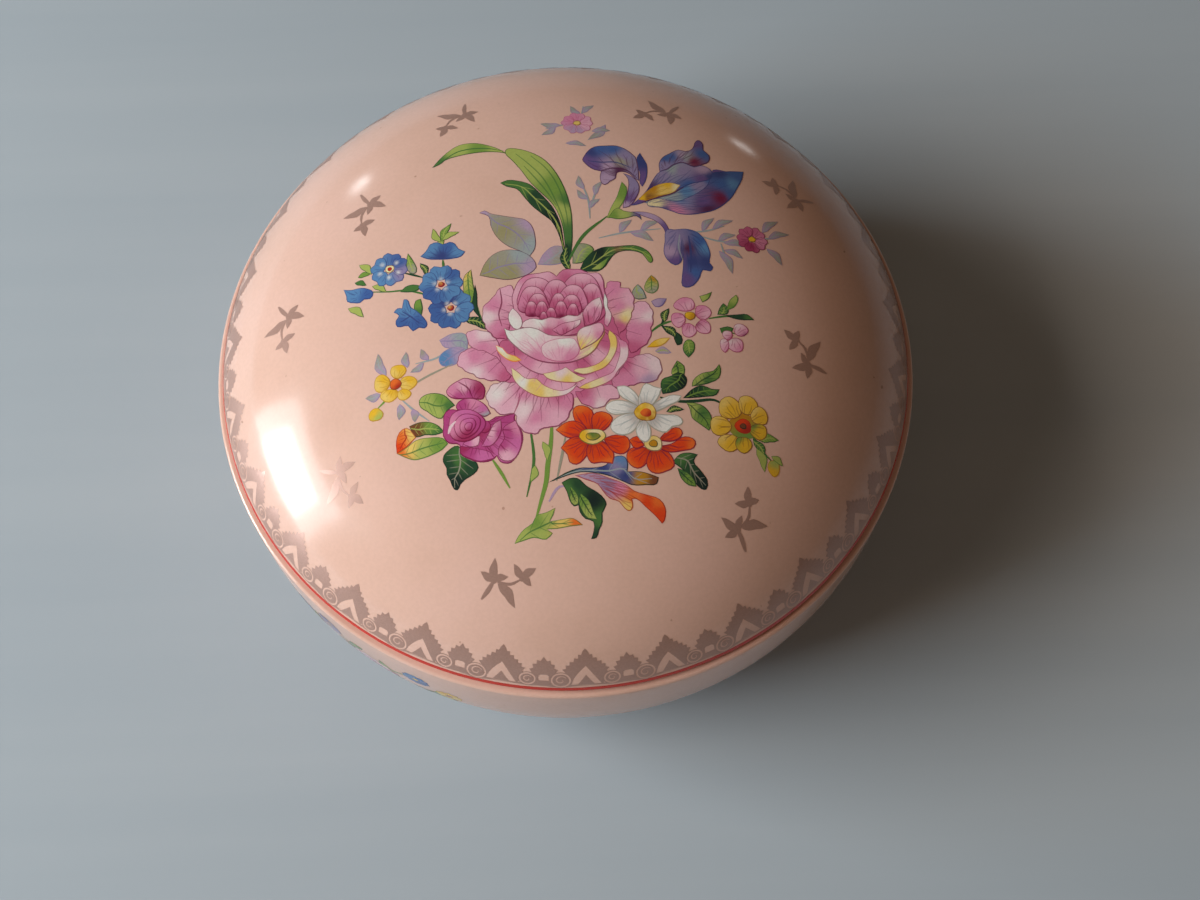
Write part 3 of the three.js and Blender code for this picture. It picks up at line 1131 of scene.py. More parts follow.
def back_leaves(s):
    """Grey and olive leaves round the big rose, and the long blades at the top."""
    s.piece = "lid_leaves"
    s.shape(
        [(-23.5, -9), (-21, -7.9), (-18.5, -8.3), (-18.2, -11.5), (-20, -11), (-22.5, -10.6)],
        "lilac -23 -10, mist -19 -9", "lavender", rib="lavender",
    )
    s.shape(
        [(-23.6, -12.5), (-22, -11), (-19, -10.9), (-18.3, -12), (-20, -13.9), (-23, -14.2)],
        "sky -23 -13, lilac -19 -12", "lavender", rib="lavender",
    )
    s.shape(
        [(-15.8, 18), (-14.7, 18.5), (-13.8, 17.8), (-12, 17.2), (-9, 16.4), (-7, 15.8), (-5.8, 14.5),
         (-5.1, 12), (-5.2, 9), (-6.2, 7.4), (-8, 8.6), (-10.5, 10), (-12.5, 12.2), (-13.6, 14.8),
         (-14, 17)],
        "lilac -15.4 17.8, grey -13 16, olive -11 13.4, grey -8 12, mist -6 10, lilac -6 14.6", "plum",
        0.16, rib="lavender",
    )
    s.shape(
        [(-15.8, 3.8), (-15, 6), (-13.5, 8), (-11.5, 9), (-9, 9), (-6.8, 8), (-5.4, 6.5), (-5, 5),
         (-6, 3.8), (-8, 2.9), (-10.5, 2.5), (-13, 3)],
        "olive -14.6 4.6, grey -12 7.4, mist -8 8, olive -10 4, lilac -6 5", "plum", 0.16, rib="lavender",
    )
    s.shape(
        [(-4.8, 5.5), (-3.5, 8), (-1.5, 9.5), (0.3, 9), (0.3, 6), (-1.5, 5.3)],
        "lilac -3 7, grey -1 6", "lavender", rib="mist",
    )
    s.shape(
        [(1.8, 5.5), (2.5, 9.5), (4.5, 9.8), (6, 8.5), (5, 7), (3.5, 5.5)],
        "grey 3 8, leaf 5 7", "forest", rib="lime",
    )
    s.shape(
        [(-11.7, 25), (-10.3, 25.6), (-8, 25.2), (-6, 24.3), (-4.4, 22.5), (-3, 20.6), (-1.8, 18.8),
         (-0.8, 16.5), (-0.1, 14), (0.3, 10), (0.6, 6.5), (0.2, 6), (0, 9), (-0.8, 12.5), (-2, 15.2),
         (-3.5, 16.7), (-5.5, 18.8), (-7, 21), (-8.5, 23.2), (-10.5, 24)],
        "green -10 25, forest -5 21.5, dark -1 15, green -7 23", "dark", 0.2, rib="lime",
    )
    s.shape(
        [(-12, 34.1), (-14, 35.3), (-17, 36.4), (-20, 36.2), (-22, 34.8), (-23.7, 33), (-25.2, 30.8),
         (-23.7, 31.4), (-22.6, 32.4), (-20, 33.1), (-16, 33.5), (-13, 33.3), (-11, 32.8), (-10, 32.3)],
        "green -24 31.5, lime -20 35, leaf -16 34, lime -12 33.5", "forest", 0.2,
    )
    s.stroke([(-23.5, 32), (-20, 34.4), (-15, 34.6), (-11, 33.4)], "green", 0.3)
    s.shape(
        [(1.2, 6), (1.7, 8), (2.1, 14), (1.9, 18.1), (0.8, 23.1), (-1.1, 27.7), (-3.1, 30.6),
         (-5.5, 32.5), (-8.1, 33.7), (-10.3, 33.9), (-10.7, 33), (-9.1, 30.3), (-7.6, 27.9),
         (-5.9, 24.8), (-4, 22.2), (-2.1, 19.8), (-0.9, 17.6), (0.1, 14), (0.5, 9.2), (0.7, 6)],
        "lime -9 32.5, lime -5 28, leaf -1 23, green 1.2 20, lime 0 18, green 1.5 12, forest 1.2 8",
        "forest", 0.24,
    )
    for points in (
        [(-8.6, 32.4), (-6, 29.4), (-3.3, 25.6), (-1, 20), (0.4, 15), (0.9, 8)],
        [(-5.6, 31.6), (-2.6, 28), (-0.3, 23), (1, 17), (1.3, 12)],
        [(-7, 29), (-4.6, 25.4), (-2.4, 21.8), (-0.8, 18.6)],
    ):
        s.stroke(points, "green", 0.3, 0.7)
    s.shape(
        [(3.1, 4), (4, 6), (5.5, 7.8), (7.5, 8.9), (10, 9.1), (12, 9.3), (14, 9.3), (16, 8.3), (17, 6.8),
         (17.1, 5.8), (16.6, 5.4), (16, 6), (15.2, 7.3), (13.5, 8), (11.5, 8), (10, 7.4), (9, 6.2),
         (8, 4.6), (6.8, 3.7), (5, 3.6), (3.9, 3.7)],
        "forest 5 8, green 10 8.8, green 15 8.5, dark 7 8, leaf 16.5 6.5", "dark", 0.2, rib="lime",
    )
    s.shape([(5.3, 4.1), (7, 5.5), (8.8, 6.8), (8, 5), (7, 4)], "lime 6 5, leaf 8 5.5", "forest", 0.16)
    s.glow(10.5, 8.5, 1.2, "wine", 0.6)
    s.leaf((1.2, 3.5), (0.9, 10), 1.7, "forest", "dark")


def stems(s):
    """The bouquet's stalks, below it and between its flowers."""
    s.piece = "lid_stems"
    for points, ink, wide in (
        ([(1, 6), (4, 11.5), (8.8, 16)], "green", 0.7),
        ([(-3, -26), (-3.3, -30), (-4, -34), (-4.4, -37), (-5.5, -40.5), (-6.5, -43.5)], "leaf", 0.9),
        ([(-7, -27), (-6.5, -33), (-6.8, -35), (-8, -39.5)], "green", 0.55),
        ([(-14, -32.6), (-12.5, -35), (-11, -37.8)], "leaf", 0.6),
        ([(-0.6, -29), (-1.5, -33), (-2.5, -37)], "grey", 0.5),
        ([(-4, -40.5), (-2, -38), (-1, -38)], "lilac", 0.5),
        ([(-16.5, -2), (-15.8, -5), (-14, -8)], "green", 0.5),
        ([(-22.8, 8), (-22.6, 5.5)], "green", 0.5),
        ([(-37, 3), (-33, 2.4), (-30, 2.2), (-26, 0.8), (-18, -2)], "green", 0.4),
        ([(-30.2, 6), (-28.6, 5.4), (-26.5, 4.5)], "forest", 0.45),
        ([(27, -6.1), (30.5, -5.4), (35, -5.2)], "green", 0.45),
        ([(15.5, -9.5), (18, -7.6), (21, -6.6)], "green", 0.5),
        ([(18, -7.5), (18.8, -6), (19.3, -4.5)], "forest", 0.6),
        ([(18, -7.7), (19, -9), (20.5, -10)], "forest", 0.6),
        ([(29, -8), (30.6, -8.6), (32, -9)], "green", 0.4),
        ([(17, -22), (20.8, -22.7), (24, -22.5), (27, -22.2), (29.5, -23.4)], "forest", 0.6),
        ([(33.6, -28), (35, -30), (36, -31.4), (37.3, -32.6)], "green", 0.5),
        ([(-30, -18), (-26, -16), (-21, -14)], "grey", 0.4),
        ([(-35.4, -21), (-33.6, -19.4), (-32, -17)], "leaf", 0.4),
    ):
        s.stroke(points, ink, wide)
    s.leaf((-4.8, -29.8), (-4, -33.4), 1.4, "lime", "green")
    s.leaf((-6.3, -34), (-7.2, -37), 1.4, "lime", "green")


def iris(s):
    """The iris at the upper right, with its falling second bloom."""
    s.piece = "lid_iris"
    for points, inks, line, width in (
        ([(8.7, 15.6), (9.6, 18), (10.8, 20.5), (12, 24.4), (12.9, 23), (12.4, 20), (11, 17.5),
          (9.6, 15.6)],
         "lime 10 18, leaf 12 22", "green", 0.18),
        ([(9, 15.8), (10.5, 15.3), (12.5, 15.5), (14.5, 16), (15.4, 15.1), (15.2, 16.3), (13.5, 17),
          (12, 17.3), (11, 18)],
         "leaf 10 16, violet 15 15.6, lime 12 16.4", "forest", 0.18),
        ([(13.5, 17.1), (16.5, 17), (19, 15.8), (20.6, 13.2), (20.5, 11), (20, 11.8), (19.4, 13.5),
          (18, 15), (16, 15.9)],
         "lavender 14 16.8, lilac 17 16.2, violet 20 12.5", "plum", 0.16),
    ):
        s.shape(points, inks, line, width)
    s.shape(
        [(12.3, 26.6), (13.2, 25.2), (13.2, 23), (12.7, 21), (12, 18.8), (11.9, 17.9), (13.2, 18.2),
         (14.6, 20.2), (15.4, 22.4), (15.3, 24.1), (14, 25.8)],
        "violet 13 20, lavender 13.6 24, lilac 12.6 19", "plum", 0.22, root=(12.5, 18),
    )
    s.shape(
        [(16, 32.1), (15.3, 30.8), (15.3, 28.6), (15.7, 26.3), (15.5, 24.1), (16, 23.2), (16.7, 24.6),
         (17.2, 27.4), (17.1, 29.4), (16.5, 30.8)],
        "navy 16 30, violet 16 25", "navy", 0.2,
    )
    s.shape(
        [(4.5, 30), (4.9, 31.1), (5.7, 32.5), (7, 33.6), (9.2, 33.9), (11.5, 33.9), (13.2, 33),
         (14.3, 31.9), (15.1, 30.8), (15.4, 28.8), (15.5, 26.3), (15.4, 24.6), (14.6, 25.2),
         (13.7, 26.3), (12.3, 26.9), (11.2, 26.6), (10.9, 25.2), (9.8, 24.4), (8.7, 23.5), (8, 24.1),
         (7.8, 25.8), (8.1, 27), (6.7, 27.4), (5.6, 28.3), (5, 29.1)],
        "violet 5.4 30, blue 8 33, navy 6.4 32, blue 10.6 33, lavender 13 31, grey 12 29.6, "
        "lilac 9.6 28.4, violet 7 28.2, lavender 14.6 27, lilac 9.4 25.2, plum 11.6 27.2", "plum", 0.24,
        root=(14, 25),
    )
    s.stroke([(5.6, 29.8), (8, 29.4), (11, 29.4), (14, 28)], "navy", 0.35, 0.8)
    s.stroke([(8, 27), (10, 27.8), (13, 27.4), (15, 25.4)], "plum", 0.4, 0.8)
    for points, inks, line, width, root in (
        ([(15.6, 19.4), (19.6, 21.6), (22, 22.6), (24.4, 24.2), (27, 25.6), (29.8, 27.2), (30.4, 28.8),
          (33, 28.8), (31, 23), (26, 20), (19, 18.8)],
         "mist 19 20.6, mist 22 21.8, sky 24.4 22.8, lavender 27 24.4, blue 29.6 26.4, violet 31 28",
         "navy", 0.2, (15, 19)),
        ([(16.8, 19.6), (19.6, 20.4), (22.4, 19.9), (25.2, 21.3), (27.2, 22.7), (28.9, 24.6), (30.3, 28),
          (32.2, 28.6), (34.5, 29.1), (36.7, 29.4), (36.1, 26.9), (35, 24.6), (33.9, 22.4), (32.2, 20.2),
          (29.7, 18.2), (27.7, 17.4), (25.2, 16.8), (23, 16.8), (21.3, 17.4), (19, 18.2), (16.8, 18.5)],
         "violet 20 17.6, pink 22 17.6, cream 18.6 19, lavender 24 21, violet 28 20, wine 31.5 21.6, "
         "plum 28.6 18.6, blue 32 25.4, blue 35.4 28, sky 34 25.6, navy 31.6 28, sky 23.4 20.8, "
         "blue 33.6 22.6", "navy", 0.24, (16, 18.8)),
        ([(19.6, 27.2), (19.6, 29.4), (20.4, 31.1), (22.1, 32.5), (23.8, 33.6), (25.2, 33.3),
          (26.6, 34.2), (27.6, 36.7), (28.3, 37), (29, 35.8), (28.9, 34.2), (30, 32.8), (29.7, 30.8),
          (28.6, 30), (26.6, 29.1), (24.4, 30), (22.4, 29.1), (21.3, 28)],
         "lavender 21 29, blue 22.6 31.4, lilac 24.4 32, mist 25 31.6, wine 26.6 30.6, blue 28.6 33, "
         "violet 27.6 36, lavender 24 30.6, blue 21 31", "plum", 0.24, (21, 27.5)),
        ([(19.6, 27.2), (17.9, 24.6), (16.8, 22.4), (15.1, 20.2), (13.4, 18.5), (14.6, 18.7),
          (17.4, 19.9), (19.6, 21), (21.8, 21.8), (24.1, 23.5), (26, 24.6), (27.7, 25.2), (29.7, 26.3),
          (30.2, 28.3), (28.3, 29.7), (26.6, 29.1), (24.4, 30), (22.4, 29.1), (21.3, 28)],
         "violet 15 19.4, lavender 20.4 26.6, mist 22 28.2, blue 25.4 24, violet 28 26, "
         "lilac 28.6 28.6, navy 29.6 27, lavender 24 27.6, plum 17 22.4", "navy", 0.22, (15, 19)),
        ([(15, 20), (17, 22.3), (19, 23.8), (21.5, 24.5), (23.5, 24), (22, 22), (19, 20.9), (16.5, 19.8)],
         "yellow 16 20.4, ochre 18 22.8, straw 20 22.4, cream 22.8 23.4, brown 17 20.4, yellow 21 24",
         "ochre", 0.16, (15, 20)),
    ):
        s.shape(points, inks, line, width, root=root)
    s.stroke([(15.7, 19.3), (19.6, 20.9), (21.8, 21.8), (24.1, 23.5)], "plum", 0.4, 0.9)
    s.shape(
        [(20.2, 13.1), (19.6, 10.3), (19.3, 7.5), (19.9, 6.1), (21.3, 5), (22.4, 5.6), (23, 7.3),
         (22.7, 4.2), (22.4, 2.2), (22.4, 0.5), (23.8, 0.3), (25.2, 1.4), (26, 2.8), (26.6, 4.2),
         (28, 4), (28.6, 5), (28, 5.9), (28.3, 7.8), (28, 9.5), (27.2, 11.5), (25.8, 12.9), (23.8, 13.4),
         (21.6, 13.1)],
        "lavender 20.4 11, lilac 20.6 8, violet 22 6, plum 24 9, blue 26.6 10.6, sky 27.4 9.4, "
        "navy 27.4 6, blue 25 3.6, violet 23.6 2.4, navy 24.6 6, lavender 22.4 10, violet 21 5.8", "navy",
        0.24, root=(23, 13.5),
    )
    s.stroke([(24.3, 11.8), (24.5, 8), (24.2, 3.6)], "navy", 0.5, 0.8)
    s.stroke([(22.6, 12), (22.2, 9), (22.8, 6.4)], "mist", 0.35, 0.6)


def forget_me_nots(s):
    """Five blue heads and a bud at the left, with their small leaves."""
    s.piece = "lid_forget_me_nots"
    for start, end, wide, inks in (
        ((-39.2, 9.5), (-36.6, 6.8), 1.5, "lime"),
        ((-39.4, 6.7), (-36.8, 7), 1.2, "leaf"),
        ((-40, 5.6), (-37.6, 4.6), 1.2, "green"),
        ((-36.5, 4.2), (-33.6, 2.4), 1.4, "lime"),
        ((-41.2, 0.3), (-38, -2.2), 1.6, "lime"),
        ((-27.2, 7.8), (-25.8, 4.6), 1.3, "forest"),
        ((-23, 9.5), (-22.6, 13.8), 1.4, "lime"),
        ((-23, 12), (-21.2, 16.2), 1.5, "leaf"),
        ((-23.2, 12), (-24.8, 15.4), 1.4, "lime"),
        ((-23, 12.4), (-19.6, 14), 1.3, "lime"),
        ((-19, -5), (-14.2, -7.8), 1.8, "forest"),
    ):
        s.leaf(start, end, wide, inks, "forest" if inks != "forest" else "dark")
    s.shape(
        [(-29.6, 10.4), (-28.5, 8.5), (-27.8, 6), (-28.5, 5.5), (-29.6, 6.5), (-29.9, 8.5)],
        "leaf -29 9, grey -28.6 6.4", "forest", rib="lime",
    )
    s.shape(
        [(-31, 2), (-30, 3), (-28.5, 3.3), (-27, 2.8), (-27.5, 1.9), (-29.5, 1.7)],
        "green -29 2.6", "forest",
    )
    s.shape(
        [(-28, -0.3), (-27, 0), (-26.6, -2), (-26.8, -3.4), (-28, -3.2), (-28.3, -2)],
        "leaf -27.6 -1, green -27.4 -3", "forest",
    )
    s.shape(
        [(-18.9, 1), (-18.7, 4), (-17.4, 5.3), (-17, 2), (-16.8, -1.5), (-17.9, -2), (-18.8, -0.5)],
        "straw -18.6 3.6, lime -17.8 3, leaf -17.6 -0.6", "forest", rib="green",
    )
    s.shape([(-17, 0), (-16.7, 2), (-16.3, 0), (-16.2, -3), (-15.6, -5.5), (-17.2, -3)], "forest", "dark")
    s.shape(
        [(-42.2, 4.6), (-40.5, 4.2), (-38.8, 4.3), (-37.3, 3.8), (-36.2, 2.8), (-36.8, 1.5), (-38, 1.6),
         (-38.8, 1), (-40, 1.2), (-41.4, 1.8), (-41.6, 3)],
        "sky -40 3.6, blue -37.4 2.6", "navy", root=(-38.6, 2.2),
    )
    s.shape(
        [(-30.3, 0.3), (-29.6, 0.2), (-28.9, -1.5), (-27.8, -2.4), (-26.3, -4.2), (-25.7, -5.5),
         (-26.3, -6.3), (-27.3, -6), (-28.5, -6.6), (-29.4, -5.4), (-31.5, -5.3), (-31.8, -4),
         (-31.2, -3), (-32.2, -2.2), (-31.5, -1.4), (-30.6, -1.5)],
        "sky -30 -2.2, blue -27.4 -5, blue -30.6 -4.6, sky -28.8 -1", "navy", root=(-28.8, -3.8),
    )
    s.stroke([(-30.6, -2.2), (-29, -3.4), (-27.2, -5.2)], "navy", 0.35, 0.8)
    s.stroke([(-29, -3.4), (-30.8, -4.4)], "navy", 0.3, 0.8)
    s.shape(
        [(-25.8, 10.8), (-25.3, 11.8), (-23.8, 12.1), (-22.8, 11.5), (-21.5, 11.9), (-20.5, 11.4),
         (-19.8, 10.2), (-18.5, 9.4), (-19.2, 8.4), (-21, 8), (-23.5, 8.1), (-25.8, 8.5), (-27.2, 9.3),
         (-26.5, 9.9)],
        "sky -25 10.8, blue -22 10.6, sky -20 9.8, navy -23 8.9", "navy", root=(-22.8, 8.2),
    )
    inks = "sky -35 8, sky -34 5, blue -31.4 8.6, lavender -30.8 6.4"
    s.petals(-33.2, 7.3, 5, 3.7, 3.9, inks, "navy", 80)
    s.oval(-33.1, 7.4, 1.9, 1.8, "cream", "brown")
    s.oval(-33.1, 7.4, 0.9, 0.9, "brick")
    s.petals(
        -21.3, -2.6, 5, 4.3, 4.6, "blue -24 -3, sky -20 -5, blue -21 -5.6, sky -18.6 -1.6, navy -22 -1",
        "navy", 50,
    )
    s.petals(
        -23.1, 2.6, 5, 4.2, 4.5, "sky -26 4, blue -21 4.8, sky -20 2, blue -25.4 0.6, sky -23 5.4",
        "navy", 20,
    )
    for x, y, turn in ((-23.1, 2.6, 20), (-21.3, -2.6, 50)):
        for k in range(5):
            a = math.radians(turn + 72 * k)
            s.glow(x + 1.3 * math.cos(a), y + 1.2 * math.sin(a), 0.5, "white", 0.6)
        s.oval(x, y, 1.3, 1.2, "brick", "wine")
        s.glow(x - 0.2, y + 0.3, 0.4, "straw", 0.8)
    for x, y in ((-34.6, 8.6), (-31.8, 8.6), (-33.2, 5.6), (-35, 6.6), (-31.4, 6.4)):
        s.glow(x, y, 0.5, "white", 0.75)


def small_flower(s, x, y, reach, inks, line, eye, turn=0.0):
    """A five-petalled head with a small eye."""
    s.petals(x, y, 5, reach, reach * 1.02, inks, line, turn)
    s.oval(x, y, reach * 0.5, reach * 0.44, eye, "brown")


def pink_flowers(s):
    """Small pink heads at the right and at the top."""
    s.piece = "lid_pink_flowers"
    s.shape(
        [(25.5, -1.5), (26.8, -1), (28, -0.4), (27.3, -2), (26, -2.8)],
        "lime 26.4 -1.6, leaf 27.6 -1", "forest",
    )
    s.shape(
        [(28.7, -5.2), (29.2, -3.8), (30, -2.7), (31, -3.8), (30.6, -5)],
        "green 29.8 -4", "forest", rib="lime",
    )
    for points, inks, line in (
        ([(30.5, -4.2), (31.3, -2), (32.6, -0.7), (33, -1.5), (32, -3.5)],
         "lime 32 -1.6, leaf 31.4 -3.4", "green"),
        ([(30.3, -5.2), (32.5, -4.9), (34.5, -4.7), (35.8, -5.8), (33, -6), (31, -5.6)],
         "forest 33 -5.4, green 35 -5.4", "dark"),
        ([(29, -8), (30.5, -7.5), (31.6, -7.8), (30.8, -9.4), (29.6, -9.5)], "green 30 -8.4", "forest"),
        ([(20.2, -8.8), (21.6, -9.8), (21.6, -11.5), (20.7, -11.8), (20.2, -10.5)],
         "forest 21 -10.4", "dark"),
    ):
        s.shape(points, inks, line)
    s.shape(
        [(21.9, -11.5), (22.8, -10.5), (23.9, -11), (23.8, -13), (22.7, -14.2), (21.8, -13)],
        "leaf 23 -12, green 22.8 -13.4", "forest", rib="lime",
    )
    s.shape(
        [(15, -12.3), (16.5, -10.9), (18.3, -10.3), (19.5, -10.3), (18.5, -11.5), (17, -12.2)],
        "yellow 16 -12, straw 18.6 -10.8", "ochre",
    )
    s.shape(
        [(15.2, -0.5), (15.8, 1.8), (16.6, 2.8), (17.8, 1.5), (17.6, -0.5), (16.5, -1.2)],
        "lime 16.4 1, ochre 16.8 2, grey 17 -0.4", "green", rib="green",
    )
    s.shape(
        [(12.8, -1.8), (13.2, 0), (14, 0.8), (15, -0.5), (15.5, -2.2), (14, -2.5)],
        "grey 14 -1.4, mist 14.6 -0.4", "forest", rib="lime",
    )
    s.shape(
        [(16.3, -2.8), (17.5, -2.2), (19.3, -2.2), (18.3, -3.8), (17, -4)],
        "lilac 17.6 -2.8, lavender 18.6 -3.2", "violet",
    )
    s.leaf((16.5, -13), (19.6, -13.3), 1.4, "lilac", "lavender")
    s.leaf((18.4, -7.2), (19.6, -4.2), 1.5, "forest", "dark")
    s.leaf((18.4, -7.9), (20.8, -10.4), 1.5, "forest", "dark")
    for x, y, wide, high, turn in (
        (22.6, -3.4, 4.2, 3, 10), (26, -4.9, 3.2, 3.2, 0), (25.9, -7.9, 3, 3, 0), (23.1, -8.7, 2.9, 3, 0),
        (21.2, -6.6, 2.8, 3.2, 0),
    ):
        inks = f"pink {x} {y + 1}, pale {x + 0.6} {y}, rose 23.6 -5.8"
        points = s.oval(x, y, wide, high, inks, "deep", turn)
        s.fan(points, (23.6, -5.8), "deep")
    s.oval(23.5, -5.7, 2.1, 1.8, "yellow 23 -5.4, ochre 24 -6", "brown")
    s.glow(24.8, -7.3, 0.7, "wine", 0.7)
    for x, y, wide, high in (
        (33, -8.1, 2.9, 2.7), (31.8, -11.2, 3.3, 3), (29.7, -11.4, 1.8, 2.9), (30.4, -9.3, 2, 2),
    ):
        inks = f"pale {x} {y}, pink {x + 0.7} {y - 0.6}, blush {x - 0.5} {y + 0.8}"
        points = s.oval(x, y, wide, high, inks, "deep")
        s.fan(points, (31.6, -9.4), "deep")
    s.glow(34, -9.3, 0.8, "plum", 0.8)
    s.glow(31.6, -9.6, 0.8, "deep", 0.7)
    small_flower(s, 3.8, 40.5, 3.2, "pink 3 41.6, pale 5.4 40, lilac 3.6 38.6", "rose", "straw", 15)
    small_flower(s, 36.8, 12.1, 3.1, "rose 36 13.4, pink 38 11.6, deep 36.6 10.6", "wine", "yellow", 50)


def yellow_flowers(s):
    """Yellow heads at the far left and far right, each with a bud."""
    s.piece = "lid_yellow_flowers"
    for x, y, wide, high in (
        (-31.3, -14.3, 2.8, 2.5), (-34.4, -16.2, 2.8, 3.2), (-29.4, -16.8, 3, 2.6), (-33, -18.7, 3.2, 2.3),
        (-30.2, -18.9, 2.4, 2),
    ):
        inks = f"yellow {x} {y + 0.6}, straw {x - 0.7} {y}, ochre -31.8 -16.7"
        points = s.oval(x, y, wide * 1.12, high * 1.12, inks, "ochre")
        s.fan(points, (-31.8, -16.7), "ochre")
    s.oval(-31.8, -16.7, 2.3, 2.2, "orange -32 -16.4, brick -31.4 -17.2", "brown")
    s.oval(-35.6, -22, 2.9, 2.5, "yellow -36 -21.6, lime -35 -22.6", "ochre")
    s.leaf((34, -29), (36.2, -32.6), 1.6, "green", "forest")
    s.leaf((35.2, -29.2), (39, -28.8), 1.6, "leaf", "forest")
    s.leaf((34.6, -30.6), (36, -34.8), 1.6, "lime", "green")
    s.oval(37.8, -33.9, 2.4, 3, "yellow 37.6 -34.6, lime 38 -33", "ochre")
    s.leaf((37.4, -31.8), (39.6, -33.4), 1.2, "lime", "green")
    s.oval(32.2, -26.8, 5.4, 4.8, "ochre 32 -25, leaf 33 -28.6")
    for x, y, wide, high in (
        (30, -23.6, 3.9, 3.7), (33.4, -22.8, 3.2, 3.2), (35.5, -24.7, 2.9, 3), (28, -27, 3.5, 3.2),
        (29.4, -30, 3.5, 2.8), (32.2, -30.2, 2.8, 2.6), (35.2, -27.6, 2.9, 2.6),
    ):
        edge = "leaf" if x > 31.5 and y < -26 else "straw"
        inks = f"yellow {x} {y}, {edge} {x - 1} {y + 1}, ochre 32.3 -26.8"
        points = s.oval(x, y, wide * 1.18, high * 1.18, inks, "brown")
        s.fan(points, (32.3, -26.8), "brown")
    s.oval(32.3, -26.8, 3.2, 2.8, "red 32 -26.4, brick 33 -27.4", "brick")
    s.oval(32.3, -26.8, 1.3, 1.1, "brown", "dark")


def left_leaves(s):
    """Leaves beside and under the small rose."""
    s.piece = "lid_leaves"
    for points, inks, line, rib in (
        ([(-27.4, -20.4), (-26.4, -19.5), (-24.4, -19.3), (-22.8, -19.8), (-21.6, -20.9), (-20.7, -22),
          (-22.1, -22.9), (-23.2, -24.3), (-24.6, -23.8), (-25.9, -22.7), (-27.1, -21.8)],
         "lime -26 -21, leaf -23 -20.6, lime -24 -23, green -21.8 -22", "forest", "green"),
        ([(-29.3, -25), (-27.5, -24.5), (-25.3, -24.7), (-23.7, -25.6), (-22.8, -26.8), (-24.4, -27.2),
          (-26.4, -27), (-28, -27.2)],
         "brown -28 -26, leaf -25 -25.4, green -24 -26.4", "forest", "lime"),
        ([(-31.8, -27.5), (-31.2, -25.9), (-29.8, -25.2), (-28, -27.2), (-29.8, -28.8), (-31.7, -29.7)],
         "orange -30.6 -27, red -31.4 -28.6, straw -29 -26.6", "brick", "brick"),
        ([(-31.7, -29.7), (-29.8, -28.8), (-28, -27.7), (-25.5, -27.5), (-23, -27.9), (-22.1, -29),
          (-23.2, -30), (-24.6, -30.6), (-26.4, -31.1), (-28.4, -31.3), (-30.2, -30.6)],
         "orange -31 -29.8, lime -27 -29.6, straw -29 -29, leaf -24 -29", "green", "green"),
        ([(-20.3, -29.5), (-22.1, -30.2), (-23, -31.1), (-23.1, -32.2), (-22.5, -33.4), (-22.5, -34.5),
          (-21.9, -35.6), (-21.2, -37.2), (-20.5, -37.4), (-20, -36.5), (-18.9, -35.6), (-17.5, -34.9),
          (-16.6, -33.8), (-17.3, -32.4), (-18.9, -31.8)],
         "forest -22 -33, green -20 -32, dark -21 -36, forest -18 -33", "dark", "grey"),
    ):
        s.shape(points, inks, line, rib=rib)


def right_leaves(s):
    """Leaves between the daisy and the yellow flower, and below the red ones."""
    s.piece = "lid_leaves"
    for points, inks, line, rib in (
        ([(19.3, -17.4), (19.9, -15.8), (20.5, -14.8), (21.8, -15.8), (21.8, -17.4), (21.2, -18.6)],
         "leaf 20.4 -16.4, lime 20 -17.6", "forest", "forest"),
        ([(17.5, -18.6), (19.3, -17.8), (20.5, -17.1), (22.1, -18), (21.8, -19.8), (19.9, -20.9),
          (17.5, -21.4), (17.2, -20.1)],
         "forest 19 -19.6, dark 21 -19, green 18.4 -18.6", "dark", "leaf"),
        ([(23, -19.8), (23.3, -18.6), (25.1, -17.1), (27.3, -16.5), (28.4, -15.2), (28.7, -16.1),
          (28.2, -18), (26.7, -18.9), (24.8, -19.5)],
         "lime 24.6 -18, leaf 27.6 -16.8, green 26 -18.6", "forest", "forest"),
        ([(21.2, -22.1), (23.3, -20.1), (25.1, -19.5), (26.7, -20.1), (28.2, -20.1), (27.6, -21.2),
          (25.4, -21.7), (23, -22)],
         "forest 24 -20.8, green 27 -20.6, dark 22.4 -21.8", "dark", "leaf"),
        ([(21.8, -22.9), (23.6, -22.9), (25.1, -23.5), (26.4, -25.3), (26.2, -27.2), (25.8, -28),
          (24.2, -26.9), (22.7, -25.7), (22.4, -24.1)],
         "lime 23 -24, leaf 25 -26.6, green 24.8 -24.6", "forest", "forest"),
    ):
        s.shape(points, inks, line, rib=rib)
    s.leaf((18, -24.7), (21.4, -24.2), 1.2, "forest", "dark")
    s.shape(
        [(18.7, -33.9), (20.2, -32.4), (22.1, -32.1), (23.5, -32.4), (22.7, -33.6), (23.9, -35.2),
         (25.1, -37), (24.8, -38.5), (23.9, -38.5), (22.1, -36.7), (20.2, -34.9)],
        "forest 22 -34, dark 24 -37, green 21 -33", "dark", rib="grey",
    )
    s.shape(
        [(19.6, -34.9), (21.2, -35.5), (22.7, -37), (23, -38.1), (21.5, -37.9), (20.2, -36.7)],
        "leaf 21.4 -36.6, green 20.4 -35.4", "forest", rib="forest",
    )


